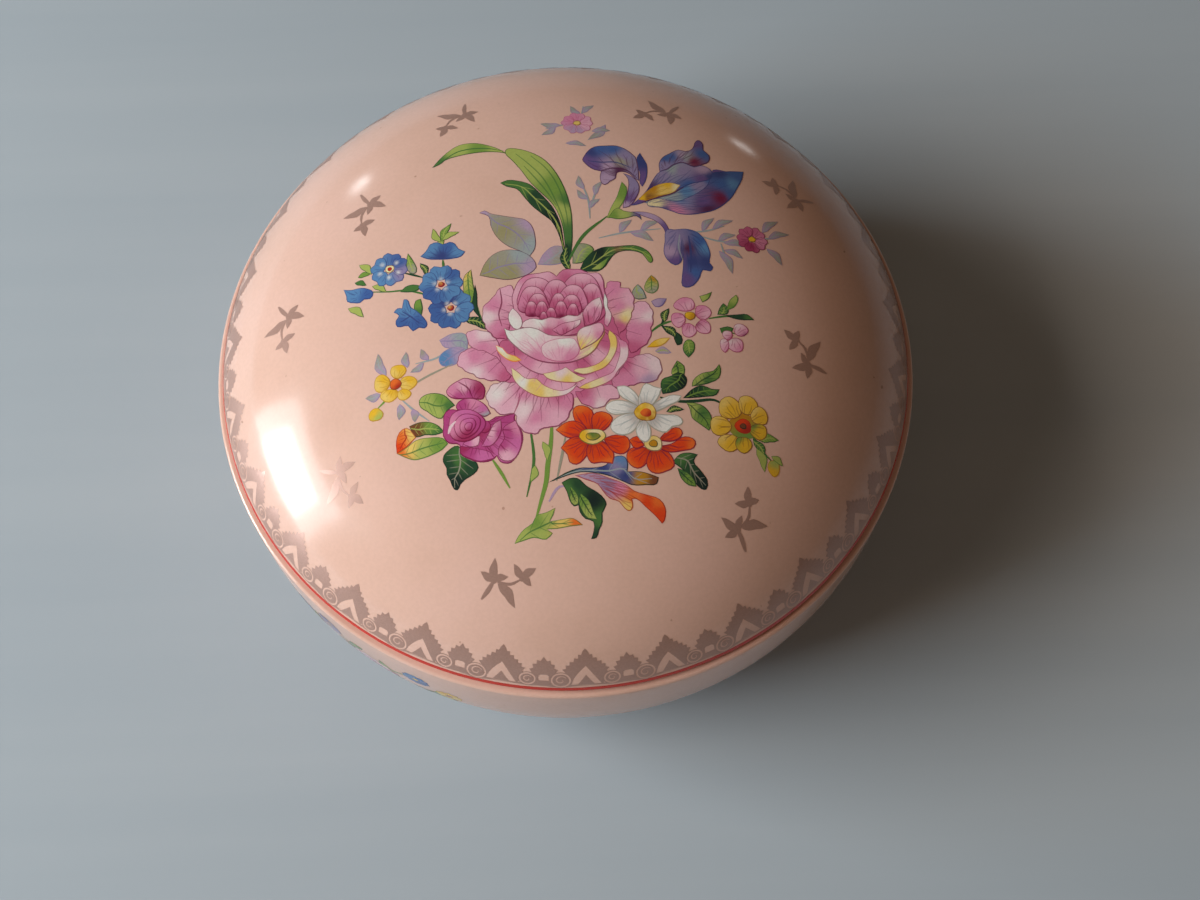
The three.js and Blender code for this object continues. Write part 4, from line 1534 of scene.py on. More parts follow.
def lower_leaves(s):
    """The long curling leaves under the red flowers and the pale one at the foot of the stalks."""
    s.piece = "lid_leaves"
    s.shape(
        [(-4, -37.2), (-2.3, -36.3), (-0.4, -35.4), (1.7, -34.8), (4.4, -34.8), (6.5, -34.4), (8, -33),
         (10.1, -33), (10.6, -34.4), (10.4, -35.6), (12.8, -35.6), (14.7, -36.1), (16.1, -36.6),
         (15.7, -37.8), (13.7, -38), (11.1, -38), (9.4, -37.3), (6.8, -36.3), (4.4, -35.8), (2, -35.6)],
        "forest -2 -36.6, navy 6 -35, sky 9 -33.8, lavender 8.6 -34.6, ochre 13 -36.8, "
        "brown 15.4 -37.2, navy 10 -36.4", "dark", 0.2, rib="mist",
    )
    s.shape(
        [(0.8, -36.1), (4.4, -35.8), (6.8, -36.6), (9.9, -37.8), (11.6, -39), (14, -39.7), (16.1, -40.4),
         (17.1, -41.8), (16.9, -44), (16.4, -44.6), (15.2, -43.3), (13.5, -41.8), (11.8, -40.4),
         (11.1, -40.4), (11.2, -41.8), (10.6, -42.5), (9.7, -42.1), (8.7, -40.9), (7, -40.3), (5.8, -39),
         (4.9, -37.8), (2.9, -37)],
        "lilac 3 -36.4, lavender 7 -38, pink 9 -38.6, orange 11 -40, red 14 -41, red 16 -43, "
        "orange 15.6 -40.6, straw 10.2 -41.6", "brick", 0.2, root=(2, -36.4),
    )
    s.shape(
        [(-1.6, -37.3), (-0.2, -36.6), (1.3, -36.6), (2.9, -38), (4.9, -39.2), (6.1, -40.4),
         (6.4, -41.3), (5.6, -42.8), (5.6, -44.2), (4.9, -45.7), (4.4, -46.9), (3.4, -47.1),
         (3.9, -45.7), (3.9, -44.2), (2.5, -43.7), (1.5, -42.5), (1.3, -41.3), (0.5, -41.5),
         (-0.3, -40.4), (-0.7, -39)],
        "forest 1 -38, dark 4 -40.6, green 5.4 -44, forest 4.2 -46.4, green 0 -38.6", "dark", 0.22,
    )
    for points, inks, line, width, rib in (
        ([(0, -38), (1.2, -39.5), (1.3, -41), (0.5, -41.3), (-0.2, -40)],
         "leaf 0.4 -39, lime 0.8 -40.6", "forest", 0.14, "forest"),
        ([(1.8, -39.3), (3.2, -40.5), (4, -42.5), (4.6, -43.8), (3, -43.6), (1.8, -42), (1.4, -40.5)],
         "leaf 2 -40.4, lime 3.6 -42.6", "forest", 0.14, "forest"),
        ([(-10.5, -47.3), (-9.8, -46.1), (-8.6, -44.9), (-7.1, -44), (-6.4, -42.8), (-4.5, -42.3),
          (-2.9, -41.6), (-3.3, -42.8), (-4, -43.9), (-1.6, -43.6), (0.3, -43.5), (2, -44.7),
          (-0.4, -44.9), (-2.8, -45.2), (-4.5, -45.2), (-3.5, -45.9), (-4.7, -46.9), (-6.9, -46.5),
          (-8.8, -46.9)],
         "lime -9 -46.2, leaf -6.4 -44, lime -4 -43, straw -1.6 -44.4, orange 1 -44.4, lime -6 -46.2",
         "green", 0.18, "green"),
    ):
        s.shape(points, inks, line, width, rib=rib)


def small_rose(s):
    """The magenta rose and its bud at the lower left."""
    s.piece = "lid_small_rose"
    s.shape(
        [(-22.3, -19.1), (-21.2, -17.9), (-20, -17.3), (-18.9, -16.9), (-17.5, -17.3), (-16, -17.9),
         (-15.1, -19.1), (-15.1, -20.4), (-15.5, -21.3), (-17.3, -21.1), (-18.9, -21), (-20.5, -20.9),
         (-21.9, -20.2)],
        "pink -21.4 -19.4, pale -19 -18.8, magenta -18 -20, deep -16.2 -19.4, magenta -20 -20.2", "wine",
        0.26, root=(-18, -22),
    )
    s.stroke([(-20, -17.6), (-18.2, -19), (-17.4, -20.9)], "wine", 0.3, 0.8)
    for points, inks, width, root in (
        ([(-20.5, -22), (-19.6, -21.1), (-17.8, -20.9), (-16, -21.6), (-14.8, -22.7), (-14.1, -24.1),
          (-15.3, -24.7), (-16.4, -24.1), (-18.2, -23.4), (-20.3, -22.9)],
         "magenta -19.4 -22, pink -17 -21.6, orchid -15.4 -23, mist -14.8 -24.6", 0.24, (-18.6, -24)),
        ([(-22.8, -23.6), (-21.9, -22.7), (-20.3, -22.9), (-18.2, -23.6), (-16.4, -25), (-14.4, -25.4),
          (-13.2, -24.7), (-11.9, -24.7), (-9.6, -24.3), (-9.7, -25.9), (-8.7, -27.2), (-8.3, -29.3),
          (-8.9, -30.9), (-9.6, -32.2), (-10.7, -33.4), (-12.6, -33.1), (-13.2, -32), (-14.1, -32.7),
          (-16.2, -32.9), (-18.2, -32.2), (-20, -30.9), (-20, -29.5), (-21.9, -29), (-23, -27.5),
          (-22.9, -25.4)],
         "magenta -21 -25, deep -19 -26, magenta -22 -27.6, orchid -19 -30.6, magenta -16 -31.6, "
         "orchid -12 -32, orchid -9.4 -30.6, orchid -9.6 -27.4, magenta -11 -25.4, magenta -14 -25.4, "
         "deep -16.8 -27", 0.28, (-17.6, -26.6)),
        ([(-19.8, -29.6), (-16.4, -30.4), (-14.3, -31.2), (-13.6, -32.4), (-16.2, -32.8), (-18.2, -32.1),
          (-19.9, -30.9)],
         "magenta -18 -31, orchid -16 -31.8, deep -19 -30", 0.22, (-16.4, -28)),
        ([(-12, -27), (-9.6, -25.6), (-8.6, -28), (-8.6, -30.4), (-10.4, -33), (-12.6, -32.6),
          (-12.9, -30.6), (-11.8, -28.8)],
         "orchid -9.8 -30, magenta -11 -28, pale -11.4 -32, magenta -12 -30, pink -9.4 -27", 0.24,
         (-15, -27)),
        ([(-16, -30), (-14.6, -27.7), (-13.5, -25.9), (-12.3, -25.4), (-12.1, -27), (-12.8, -28.8),
          (-14.4, -30.2)],
         "pale -14 -27.6, orchid -15.4 -29.6, magenta -12.8 -27.8", 0.22, (-17, -27)),
    ):
        s.shape(points, inks, "wine", width, root=root)
    s.shape(
        [(-19.4, -29.3), (-17.8, -28.1), (-16.2, -28.1), (-16.4, -29.7), (-18.2, -30)],
        "orchid -18.6 -29, pale -17 -28.6", "wine", 0.2,
    )
    s.shape(
        [(-16.6, -26.1), (-15.5, -25.2), (-14.1, -26.1), (-14.6, -27.5), (-16, -27.5)],
        "magenta -15.4 -26.4, deep -15 -27.2", "wine", 0.2,
    )
    for k, reach in enumerate((3.5, 2.6, 1.7, 0.9)):
        x, y = -18.7 + 0.15 * k, -25.9 - 0.1 * k
        inks = f"pink {x - reach} {y + 0.4}, magenta {x + reach} {y}, "
        inks += f"deep {x} {y - reach}, orchid {x} {y + reach}"
        s.oval(x, y, 2 * reach, 1.75 * reach, inks, "wine", 25 * k, 0.26)
    s.stroke([(-22, -27.2), (-21.6, -26), (-20.6, -25)], "blush", 0.55, 0.9)


def reach_eye(point, middle, eye, pull):
    """A petal's point, a little further from its middle, and drawn towards the eye where it is near it."""
    point, middle, eye = (np.array(p, float) for p in (point, middle, eye))
    point = point + (point - middle) * 0.08
    inwards = (eye - middle) / np.linalg.norm(eye - middle)
    lean = float((point - middle) @ inwards)
    return point + inwards * max(lean, 0) * pull * 2


def red_flowers(s):
    """Two orange-red heads below the big rose."""
    s.piece = "lid_red_flowers"
    left_eye = (4.3, -29.2)
    right_eye = (15.4, -30.5)
    for k, points in enumerate((
        [(1.1, -24.1), (2.1, -23.5), (4.3, -24.4), (4.4, -26.3), (4, -27.5), (2.4, -27.5), (1.2, -26)],
        [(4.6, -25.3), (6.1, -24.7), (8, -25.8), (7.7, -26.9), (6.4, -27.8), (4.9, -27.5)],
        [(-2.2, -27.8), (-0.6, -26.6), (0.9, -26.3), (2.4, -27.5), (1.8, -29), (-0.3, -29.2)],
        [(-1.4, -31.2), (0, -29.8), (2.1, -30), (3.4, -31.2), (2.7, -33), (1.2, -34.1), (0, -33.6),
         (-0.3, -32.4)],
        [(3.7, -31.8), (5.2, -30.6), (6.7, -30.9), (8, -32.4), (7.7, -34.1), (5.8, -33.9), (4, -33.9)],
        [(7.3, -30), (8.9, -29.2), (10.7, -29.6), (11, -31.2), (9.8, -32.4), (8.3, -32.1)],
        [(10.7, -32.1), (12.3, -31.5), (14.1, -32.4), (13.8, -34.2), (12.3, -35), (10.7, -33.9)],
        [(14.4, -33.6), (15.9, -32.4), (18.1, -32.7), (18.9, -34.6), (17.5, -35.5), (15.6, -35.9),
         (14.4, -35.2)],
        [(17.5, -31.2), (19.3, -30.6), (21.2, -29.3), (23, -30), (22.7, -31.2), (20.8, -31.8),
         (18.7, -32.1)],
        [(17.2, -29.6), (18.4, -28.1), (20.2, -27.7), (20.8, -28.7), (19.3, -30)],
        [(11, -30), (12.3, -29.3), (13.2, -30.9), (12, -31.5)],
    )):
        # The first six petals stand round the left head's eye, the others round the right one's.
        x, y = left_eye if k < 6 else right_eye
        mx, my = np.mean(points, 0)
        inks = f"red {mx} {my}, orange {mx * 1.5 - x * 0.5} {my * 1.5 - y * 0.5}, brick {x} {y}"
        wide = [reach_eye(p, (mx, my), (x, y), 0.22) for p in points]
        s.shape(wide, inks, "wine", 0.24, root=(x, y), veins="wine")
    s.oval(4.3, -29.2, 5, 2.9, "cream 5 -28.6, yellow 2.4 -29, straw 6 -29.8", "forest")
    s.oval(4.4, -29.2, 2.8, 1.5, "green 4 -29, yellow 3.4 -29.4", "forest")
    s.oval(15.4, -30.6, 3.4, 2.9, "straw 15 -30, cream 16 -31", "brown")
    s.oval(15.4, -30.6, 1.7, 1.4, "ochre", "forest")


def slimmer(points, middle, eye, share):
    """A petal's points drawn in towards its own axis."""
    axis = np.array(middle) - eye
    axis /= np.linalg.norm(axis)
    along = [axis * ((p - eye) @ axis) for p in points]
    return [eye + a + share * ((p - eye) - a) for p, a in zip(points, along)]


def daisy(s):
    """The white daisy, over the red flowers."""
    s.piece = "lid_daisy"
    eye = np.array((14.2, -24.8))
    for points in (
        [(9.2, -20.1), (10.7, -19.8), (12.3, -20.7), (12.9, -22.3), (12.7, -23.2), (11.3, -22.7),
         (9.5, -21.7)],
        [(13.2, -21.1), (14.4, -19.4), (15.9, -20), (17.5, -20.4), (17.2, -21.5), (15.6, -22.9),
         (13.8, -23.2), (13, -22.3)],
        [(7, -24.1), (7.7, -22.9), (9.8, -22.4), (11.6, -23.5), (12, -24.7), (10.1, -25.2), (8, -25.3)],
        [(7.7, -27.5), (8.3, -26), (9.8, -25.3), (11.6, -25.7), (12.1, -27.2), (11.6, -28.7),
         (10.4, -29.2), (8.6, -28.7)],
        [(12.1, -28.4), (12.6, -27.5), (14.1, -27.2), (15, -28.1), (15, -29.6), (14.1, -30.3),
         (12.9, -29.8)],
        [(15.3, -26.9), (16.2, -26), (18.4, -25.3), (20.2, -25.2), (21, -26.3), (20.2, -27.2),
         (19, -27.5), (17.8, -28.7), (16.2, -28.4)],
        [(16.4, -23.5), (17.5, -22), (19.3, -21.4), (20.8, -21.7), (20.5, -22.6), (19, -23.5),
         (17.5, -24.3), (16.6, -24.4)],
    ):
        mx, my = np.mean(points, 0)
        tip = f"white {mx * 1.3 - 4.3} {my * 1.3 + 7.4}"
        foot = f"ash {mx * 0.35 + 9.2} {my * 0.35 - 16.1}"
        inks = f"white {mx} {my}, {tip}, {foot}"
        outline = slimmer([reach_eye(p, (mx, my), eye, 0.3) for p in points], (mx, my), eye, 0.86)
        s.shape(outline, inks, "grey", 0.26, root=eye, veins="mist")
    s.oval(14.2, -24.8, 4.2, 3.5, "yellow 13.6 -24.2, straw 15 -24.4, ochre 14.6 -26", "brown")
    s.oval(14.3, -24.9, 2.1, 1.6, "orange 14 -24.6, brick 14.8 -25.4")
    for k in range(9):
        a = 2 * math.pi * k / 9
        ink = "straw" if k % 2 else "ochre"
        s.glow(14.2 + 1.6 * math.cos(a), -24.8 + 1.3 * math.sin(a), 0.35, ink, 0.8)


def rose_outer_petals(s):
    """The big rose's loose outer petals, from the back ones to the front ones."""
    s.piece = "lid_rose"
    ground = [(-13, -16), (-14, -8), (-12, -2), (-9, 0.5), (8, 0), (12, -4), (14, -12), (10, -19),
              (0, -22), (-9, -20)]
    s.shape(ground, "rose -6 -14, pink -12 -10, rose 10 -6, rose 8 -14, pink 0 -19")
    root = (-1, -7)
    s.shape(
        [(11.3, -8.1), (12.8, -3.8), (14.3, -2.7), (15.9, -3.5), (16.6, -5.3), (16.2, -8.4),
         (15.6, -10.9), (13.7, -12.7), (11.9, -13.6)],
        "pale 14.6 -4.4, pink 13 -9, rose 12.4 -12.6, pink 15.6 -8, blush 15.6 -6", "wine", root=root,
        ruffle=0.3,
    )
    s.shape(
        [(8.2, 1.1), (9.7, 1.6), (10.7, 1.1), (10.7, 0.2), (12.2, -0.1), (13.1, -2), (13.1, -3.8),
         (12.5, -6), (11.3, -8.4), (10, -9.9)],
        "pink 9 0, pink 10.4 -4, rose 10.4 -8, pale 12.4 -2.6, cream 11.6 -5.6", "wine", root=root,
        ruffle=0.3,
    )
    s.glow(11.2, -6.5, 0.9, "straw", 0.8)
    s.shape(
        [(-9.6, 1.1), (-10.5, 1.3), (-12, 0.8), (-13.9, -1.7), (-14.8, -2.3), (-15.4, -4.4),
         (-14.8, -7.2), (-12.7, -9.6), (-10.8, -9.9)],
        "pale -10.6 0.2, pink -13.4 -3, pink -12.4 -7, blush -14.2 -5, rose -11 -9", "wine", root=root,
        ruffle=0.3,
    )
    s.stroke([(-12, 0.8), (-11.7, -2.3), (-12.3, -4.7), (-11.7, -7.2)], "wine", 0.3, 0.8)
    for points, inks in (
        ([(-13.9, -8.4), (-16.3, -7.6), (-18.2, -7.8), (-18.2, -9.6), (-16.6, -12.7), (-16, -14.5),
          (-13.9, -16.1), (-11.7, -17), (-10.2, -16.7)],
         "pale -17.4 -9, pink -15.4 -11, pink -12.6 -14, rose -11 -16, blush -15.4 -8.6"),
        ([(-17, -11.2), (-18.8, -11.5), (-20.2, -13.3), (-20, -14.5), (-17.9, -16.1), (-16, -17.3),
          (-13.9, -17.9), (-10.5, -17.9), (-10.2, -17)],
         "pale -19 -13.6, pink -17 -13, pink -13.4 -15.6, rose -11.4 -17, blush -16.8 -16.4, "
         "pale -15 -17.4"),
        ([(10.7, -14.5), (12.2, -14.2), (14.7, -13.5), (16.8, -14.2), (17.7, -16.1), (17.1, -17.9),
          (15.9, -19.1), (13.7, -19.3), (11.6, -19.9), (9.1, -20.4), (8, -18)],
         "pale 14 -17, blush 16.4 -16, pink 11.4 -18.6, rose 10.6 -15.6, lilac 15 -18.6"),
        ([(1.5, -20.7), (2.1, -22.5), (3.9, -23.7), (6.1, -24), (7.9, -22.5), (9.7, -22.2), (9, -20)],
         "pink 4 -22.8, pale 7.4 -21.6, rose 3 -21.2, blush 6 -23.4"),
    ):
        s.shape(points, inks, "wine", root=root, ruffle=0.3)
    s.shape(
        [(-13.5, -18.5), (-14.8, -20.1), (-14.8, -21.9), (-13.6, -23.4), (-11.7, -24.7), (-9.9, -24.4),
         (-9.3, -26.5), (-7.4, -28.3), (-5.6, -28.3), (-4.4, -27.4), (-2.5, -27.3), (-0.4, -26.2),
         (0.5, -24.7), (1.2, -22.2), (0, -20), (-9, -18.5)],
        "blush -13 -20.6, pale -11 -22.6, pink -6 -25.4, pale -5.6 -27.4, pink 0 -22, rose -1 -21, "
        "pale -1.6 -25.6, pink -8 -20.4, blush -8 -24", "wine", 0.26, root=(-3, -12), ruffle=0.3,
    )
    s.stroke([(-9.9, -24.4), (-9.1, -22.6), (-8.7, -20.6)], "deep", 0.3, 0.7)
    s.glow(-13, -20.5, 1.4, "white", 0.7)


def rose_crescents(s):
    """The cupped petals under the bowl, turned over in cream and yellow along their rims."""
    root = (-1, -10)
    s.shape(
        [(7, -8.4), (9.4, -9.6), (10.8, -11), (11.4, -13), (10.8, -15.4), (9, -18), (6, -19.6),
         (2.4, -20.2), (0, -18.4), (4, -14)],
        "rose 7.6 -10, pink 9.4 -13, pale 10 -15, pink 6 -17, rose 3 -16.6, pale 4 -19", "wine",
        root=root, ruffle=0.25,
    )
    s.shape(
        [(9.7, -10.5), (11.3, -11.2), (11.7, -12.7), (11.3, -14.8), (9.7, -16.7), (8.5, -18.5),
         (6.1, -19.8), (3.6, -20.4), (2.1, -20.1), (2.7, -19.6), (4.5, -18.8), (6.7, -17.9), (8.5, -17),
         (9.4, -15.2), (10, -13)],
        "blush 10.6 -13, pale 8.4 -17.4, cream 5 -19.6, straw 3.4 -19.9, pink 10.6 -11.6, blush 9.6 -16",
        "deep", 0.2,
    )
    s.shape(
        [(-11.6, -10), (-12.6, -12), (-11.8, -14.8), (-10, -17.4), (-6.8, -20.6), (-2.5, -21.5),
         (0.6, -20.6), (2, -18), (0, -14.6), (-6, -12)],
        "rose -10 -12, pink -10.4 -14.6, pale -8.4 -17.4, pink -4 -17.4, rose -3 -15.6, pale -1.6 -19.8",
        "wine", root=root, ruffle=0.25,
    )
    s.shape(
        [(-10.2, -15.5), (-9, -16.4), (-7.4, -17.8), (-5.6, -17.9), (-4.4, -19.1), (-2.5, -20.1),
         (-0.7, -20.4), (2.1, -19.1), (1.2, -20.4), (-0.1, -21.3), (-2.5, -21.7), (-5, -21.6),
         (-6.8, -20.8), (-8.7, -19.4), (-9.9, -17.6)],
        "cream -9.4 -17, straw -6.6 -19, cream -3.4 -20.6, blush 0 -20.6, straw -5 -20.6, white -8 -18.6",
        "deep", 0.2, root=(-2, -14), veins="pink",
    )
    s.shape(
        [(-9.6, -11), (-9.4, -13.6), (-7.2, -16), (-4, -17.4), (0.4, -17), (3.4, -17.6), (6, -16.6),
         (8.6, -13.8), (8.6, -10.6), (7.2, -8.8), (2, -13), (-5, -13)],
        "rose -8.4 -12, pink -7.4 -14.4, pale -4.6 -16, pink 0 -16, rose 3 -15, pale 6 -14, rose 7.6 -11",
        "wine", root=(-1, -8),
    )
    for points, inks, line, width in (
        ([(-13, -10.9), (-11.7, -11.5), (-10.8, -12.7), (-9.3, -13.3), (-8.2, -14.2), (-9.3, -14.5),
          (-10.5, -14.2), (-11.7, -13.3), (-12.7, -12.1)],
         "white -11.6 -12, straw -9.6 -13.8, cream -12 -12.6", "orange", 0.24),
        ([(-4.4, -17), (-2.5, -16.7), (-0.7, -16.2), (-0.2, -15.9), (0.5, -16.4), (2.1, -17.6),
          (3.6, -18.2), (2.1, -19), (0.2, -19), (-1.9, -18.7), (-3.8, -17.9)],
         "cream -3 -17.6, straw 0 -18.4, blush -1 -17, cream 2 -18.2", "deep", 0.2),
        ([(8.2, -8.7), (9.4, -9.9), (9.6, -12.1), (8.8, -14.2), (7.3, -16.1), (5.1, -17.1), (3, -17.5),
          (1.2, -16.8), (1.5, -16.4), (3.6, -16.1), (6.1, -15.2), (7.6, -13.6), (8.2, -11.5),
          (7.9, -9.6)],
         "straw 8.8 -11, cream 8.4 -13.6, straw 6.6 -16, cream 3 -16.8", "deep", 0.2),
    ):
        s.shape(points, inks, line, width)


def rose_arch(s, x, y, wide, high, lean=0.0):
    """One small upright petal of the rose's heart, pale along its rim and dark at its foot."""
    half = wide / 2
    outline = [
        (x - half, y),
        (x - half * 0.9 + lean * 0.3, y + high * 0.55),
        (x - half * 0.45 + lean * 0.8, y + high * 0.93),
        (x + lean, y + high),
        (x + half * 0.5 + lean * 0.8, y + high * 0.9),
        (x + half * 0.92 + lean * 0.3, y + high * 0.5),
        (x + half, y),
        (x, y - high * 0.12),
    ]
    foot = y + high * 0.35
    rim = y + high * 0.97
    side = "rose" if wide < 4.5 else "pink"
    inks = f"wine {x} {y}, rose {x} {foot}, pale {x + lean} {rim}, "
    inks += f"{side} {x - half * 0.8} {foot + 0.3}, {side} {x + half * 0.8} {foot}"
    s.shape(outline, inks, "wine", 0.26, root=(x, y - 1), veins="deep")


def rose_bowl(s):
    """The big rose's cupped heart: nested small petals inside, then the front petals."""
    s.shape(
        [(-9.6, -3.2), (-9.8, -1.3), (-9.3, 0.5), (-8.4, 2.3), (-6.8, 3.4), (-4.4, 3.7), (-2.5, 3.9),
         (-1.3, 2.9), (-0.1, 4.2), (2.1, 4.3), (3.3, 4.2), (4.8, 3.4), (6.7, 3.3), (7.6, 1.7),
         (7.7, -0.1), (8.2, -3), (7.4, -6), (4, -8), (-4, -8.4), (-8.6, -7)],
        "pale -8.8 0.4, pink -7 2.6, pale -4 3.4, pink 2.6 3.9, pale 6.4 2.6, rose -5 0, rose 1 2, "
        "pink 6.6 0, rose 7 -4", "wine", 0.26,
    )
    for x, y, wide, high, lean in (
        (-4.9, -3.4, 7.4, 6.2, -0.3),
        (3.1, -3.2, 8, 6.6, 0.4),
        (-1.4, -3, 5.4, 5.2, 0),
        (5, -4.4, 4.6, 5.6, 0.3),
        (-5.7, -4.2, 5.6, 5.2, -0.3),
        (1.5, -4, 5.6, 5, 0.3),
        (-4.9, -4.6, 4.2, 4, 0),
        (-1.2, -4.6, 3.2, 3.9, 0.2),
        (1.2, -5, 4, 3.9, 0.3),
        (-6, -5.2, 2.6, 3, -0.2),
        (-4.2, -5.4, 2.6, 3.1, 0),
        (-0.6, -5.6, 2.6, 3.2, 0),
        (1.5, -5.8, 2.4, 2.8, 0.2),
        (-2.5, -6, 2.2, 2.3, 0),
        (-3.9, -6.2, 1.6, 1.7, 0),
    ):
        rose_arch(s, x, y, wide, high, lean)
    s.shape(
        [(7.6, -1), (8.2, -2.3), (8.2, -4.1), (8.8, -5.3), (8.5, -7.2), (7.9, -8.1), (7.3, -7.5),
         (7.6, -5.3), (7.3, -2.9)],
        "white 8 -3, blush 8.2 -6.4, pink 7.6 -7", "wine", 0.2,
    )
    s.shape(
        [(3.3, -8.1), (3, -6.6), (3.6, -4.4), (5.1, -2.6), (6.7, -1.8), (7.1, -2.9), (7.1, -4.7),
         (6.4, -6.6), (4.8, -7.6)],
        "pale 4.6 -3.6, pink 5.6 -4.6, rose 4.4 -6.6, blush 6.4 -3, pink 6.6 -6", "wine", root=(4.6, -9),
    )
    s.shape(
        [(-8.6, -7.4), (-7.4, -6.2), (-5.8, -5.8), (-4.3, -6.2), (-2.8, -5.7), (-1, -6), (0.6, -5.4),
         (2.4, -5.6), (3.4, -4.8), (3.6, -6.4), (3.6, -8.6), (0, -9.8), (-4, -9.4)],
        "blush -6.6 -6.6, white -4.6 -6.4, pale -2.6 -6.6, pink -0.6 -7.4, blush 1 -6, rose 2.6 -8, "
        "rose -3 -8.8", "wine", 0.24, root=(-2, -13), veins="rose",
    )
    s.shape(
        [(-2.5, -8.4), (-0.7, -7.2), (2.1, -6.6), (3, -6.3), (3, -7.2), (2.1, -8.1), (0.5, -9),
         (-0.7, -9.6)],
        "pink -1 -8, pale 1.6 -7, rose 0 -8.8, blush 2.4 -6.8", "wine", 0.2, root=(0, -11),
    )
    for points, inks, line, width, root in (
        ([(-11.4, -7.5), (-10.2, -8.1), (-9, -7.9), (-6.8, -7.6), (-5, -8.1), (-3.1, -9.3), (-0.7, -9.6),
          (2.1, -9.6), (4.6, -8.6), (7.3, -7.9), (7.4, -9.5), (6.5, -11), (5.5, -12.7), (3.5, -14.2),
          (1, -15.1), (-2, -15.2), (-5, -14.6), (-7.4, -13.2), (-9.3, -11.5), (-10.8, -9.6)],
         "white -9.6 -9, blush -7.4 -10.4, white -6 -9, pale -3.6 -12, pink 0 -14.4, blush -4 -10, "
         "cream 4.4 -12.8, pale 1 -12, straw 6 -11.4, pink -5 -13.8", "wine", 0.28, (-1.6, -16.5)),
        ([(-4.6, -12), (-4.2, -11.2), (-2.5, -10.4), (-0.1, -10.1), (1.5, -10.2), (2.1, -10.9),
          (2.6, -12.8), (1.4, -14.4), (-1.8, -14.8), (-4, -13.8)],
         "blush -2.4 -11, white -0.4 -10.6, pale -1 -13, pink 0.6 -14.2", "rose", 0.22, (-1, -16)),
        ([(2.1, -9.6), (2.7, -8.4), (4.8, -7.6), (6.7, -7.2), (7.3, -8.1), (7, -9.6), (5.5, -11.2),
          (2.7, -12.7)],
         "blush 4 -8.6, pale 6.4 -8.2, cream 4.6 -11.4, straw 3 -12, pink 6.6 -9.6", "wine", 0.24,
         (1, -15)),
    ):
        s.shape(points, inks, line, width, root=root, veins="pink")
    s.shape(
        [(-9.7, -3.5), (-10.5, -4.7), (-10.2, -6.9), (-9, -8.1), (-8, -7.5), (-7.9, -6), (-9, -4.1)],
        "white -9.6 -6, blush -8.8 -5", "wine", 0.2,
    )
    s.glow(-9, -9.4, 1.2, "white", 0.7)


def bouquet():
    """The whole bouquet, painted from the back to the front."""
    s = Sheet()
    for paint in (
        grey_sprigs, back_leaves, stems, iris, forget_me_nots, left_leaves, right_leaves, lower_leaves,
        pink_flowers, yellow_flowers, small_rose, red_flowers, rose_outer_petals, rose_crescents, rose_bowl,
        daisy,
    ):
        paint(s)
    return s


def wall_spray():
    """A loose spray for the bowl: a pink head, a blue one, a yellow one, leaves and a stalk."""
    s = Sheet()
    s.piece = "bowl_flowers"
    s.stroke([(-17, -13), (-9, -18), (0, -20), (9, -19), (17, -14.5)], "green", 0.7)
    s.stroke([(-4, -19.4), (-5, -14), (-9, -9.5)], "green", 0.5)
    s.stroke([(3, -19.6), (5, -14), (10, -10)], "leaf", 0.5)
    s.stroke([(0, -20), (2, -25), (7, -29)], "leaf", 0.5)
    for start, end, wide, inks in (
        ((-12, -16.4), (-17.5, -17.6), 2.4, "green"), ((-13, -15.4), (-14.6, -10.6), 2.2, "lime"),
        ((-6, -17), (-11, -21.6), 3, "forest"), ((-5, -14), (-1.4, -9.6), 2.6, "green"),
        ((5, -14.5), (2.4, -9.8), 2, "lime"), ((9, -19), (13, -23.6), 3, "forest"),
        ((12, -17.4), (19, -18.2), 2.6, "green"), ((14, -16), (19.6, -12.2), 2.2, "lime"),
        ((2, -24), (-3.4, -28), 2.8, "green"), ((3.6, -26), (9.4, -25.6), 2.2, "lime"),
        ((6, -28.4), (11, -31), 2, "leaf"),
    ):
        s.leaf(start, end, wide, f"{inks} {start[0]} {start[1]}, leaf {end[0]} {end[1]}", "dark")
    small_flower(s, -10, -9.8, 3.2, "violet -11 -9, lavender -9 -10", "plum", "yellow", 10)
    small_flower(s, 10.6, -10.6, 3, "sky 10 -10, blue 11.6 -11", "navy", "straw", 40)
    small_flower(s, 17.4, -14.6, 2.8, "yellow 17 -14, straw 18 -15", "ochre", "brick", 70)
    small_flower(s, -17.6, -13, 2.6, "sky -18 -12.6, blue -17 -13.6", "navy", "straw", 25)
    s.petals(0, -18.6, 7, 6.4, 5, "pale 0 -24, pink 4 -20, pink -4 -20, blush 0 -13.6", "wine", 12)
    s.petals(0, -18.6, 6, 4.4, 3.8, "pink 0 -22, rose 2 -18, pale -2 -17", "wine", 40)
    s.petals(0, -18.6, 5, 2.6, 2.6, "rose 0 -19, deep 1 -18", "wine", 5)
    s.oval(0, -18.6, 1.4, 1.3, "wine", "plum")
    return s


# ---------------------------------------------------------------- camera, lights and floor

CAMERA_ELEVATION = math.radians(63.94)
CAMERA_DISTANCE = 0.3252
CAMERA_YAW = math.radians(1.11)
CAMERA_PITCH = math.radians(-3.39)
CAMERA_ROLL = math.radians(-1.91)
CAMERA_LENS = 47.58


def turn_pair(first, second, angle):
    """Two axes of a camera turned in their own plane."""
    cosine, sine = math.cos(angle), math.sin(angle)
    return first * cosine + second * sine, second * cosine - first * sine


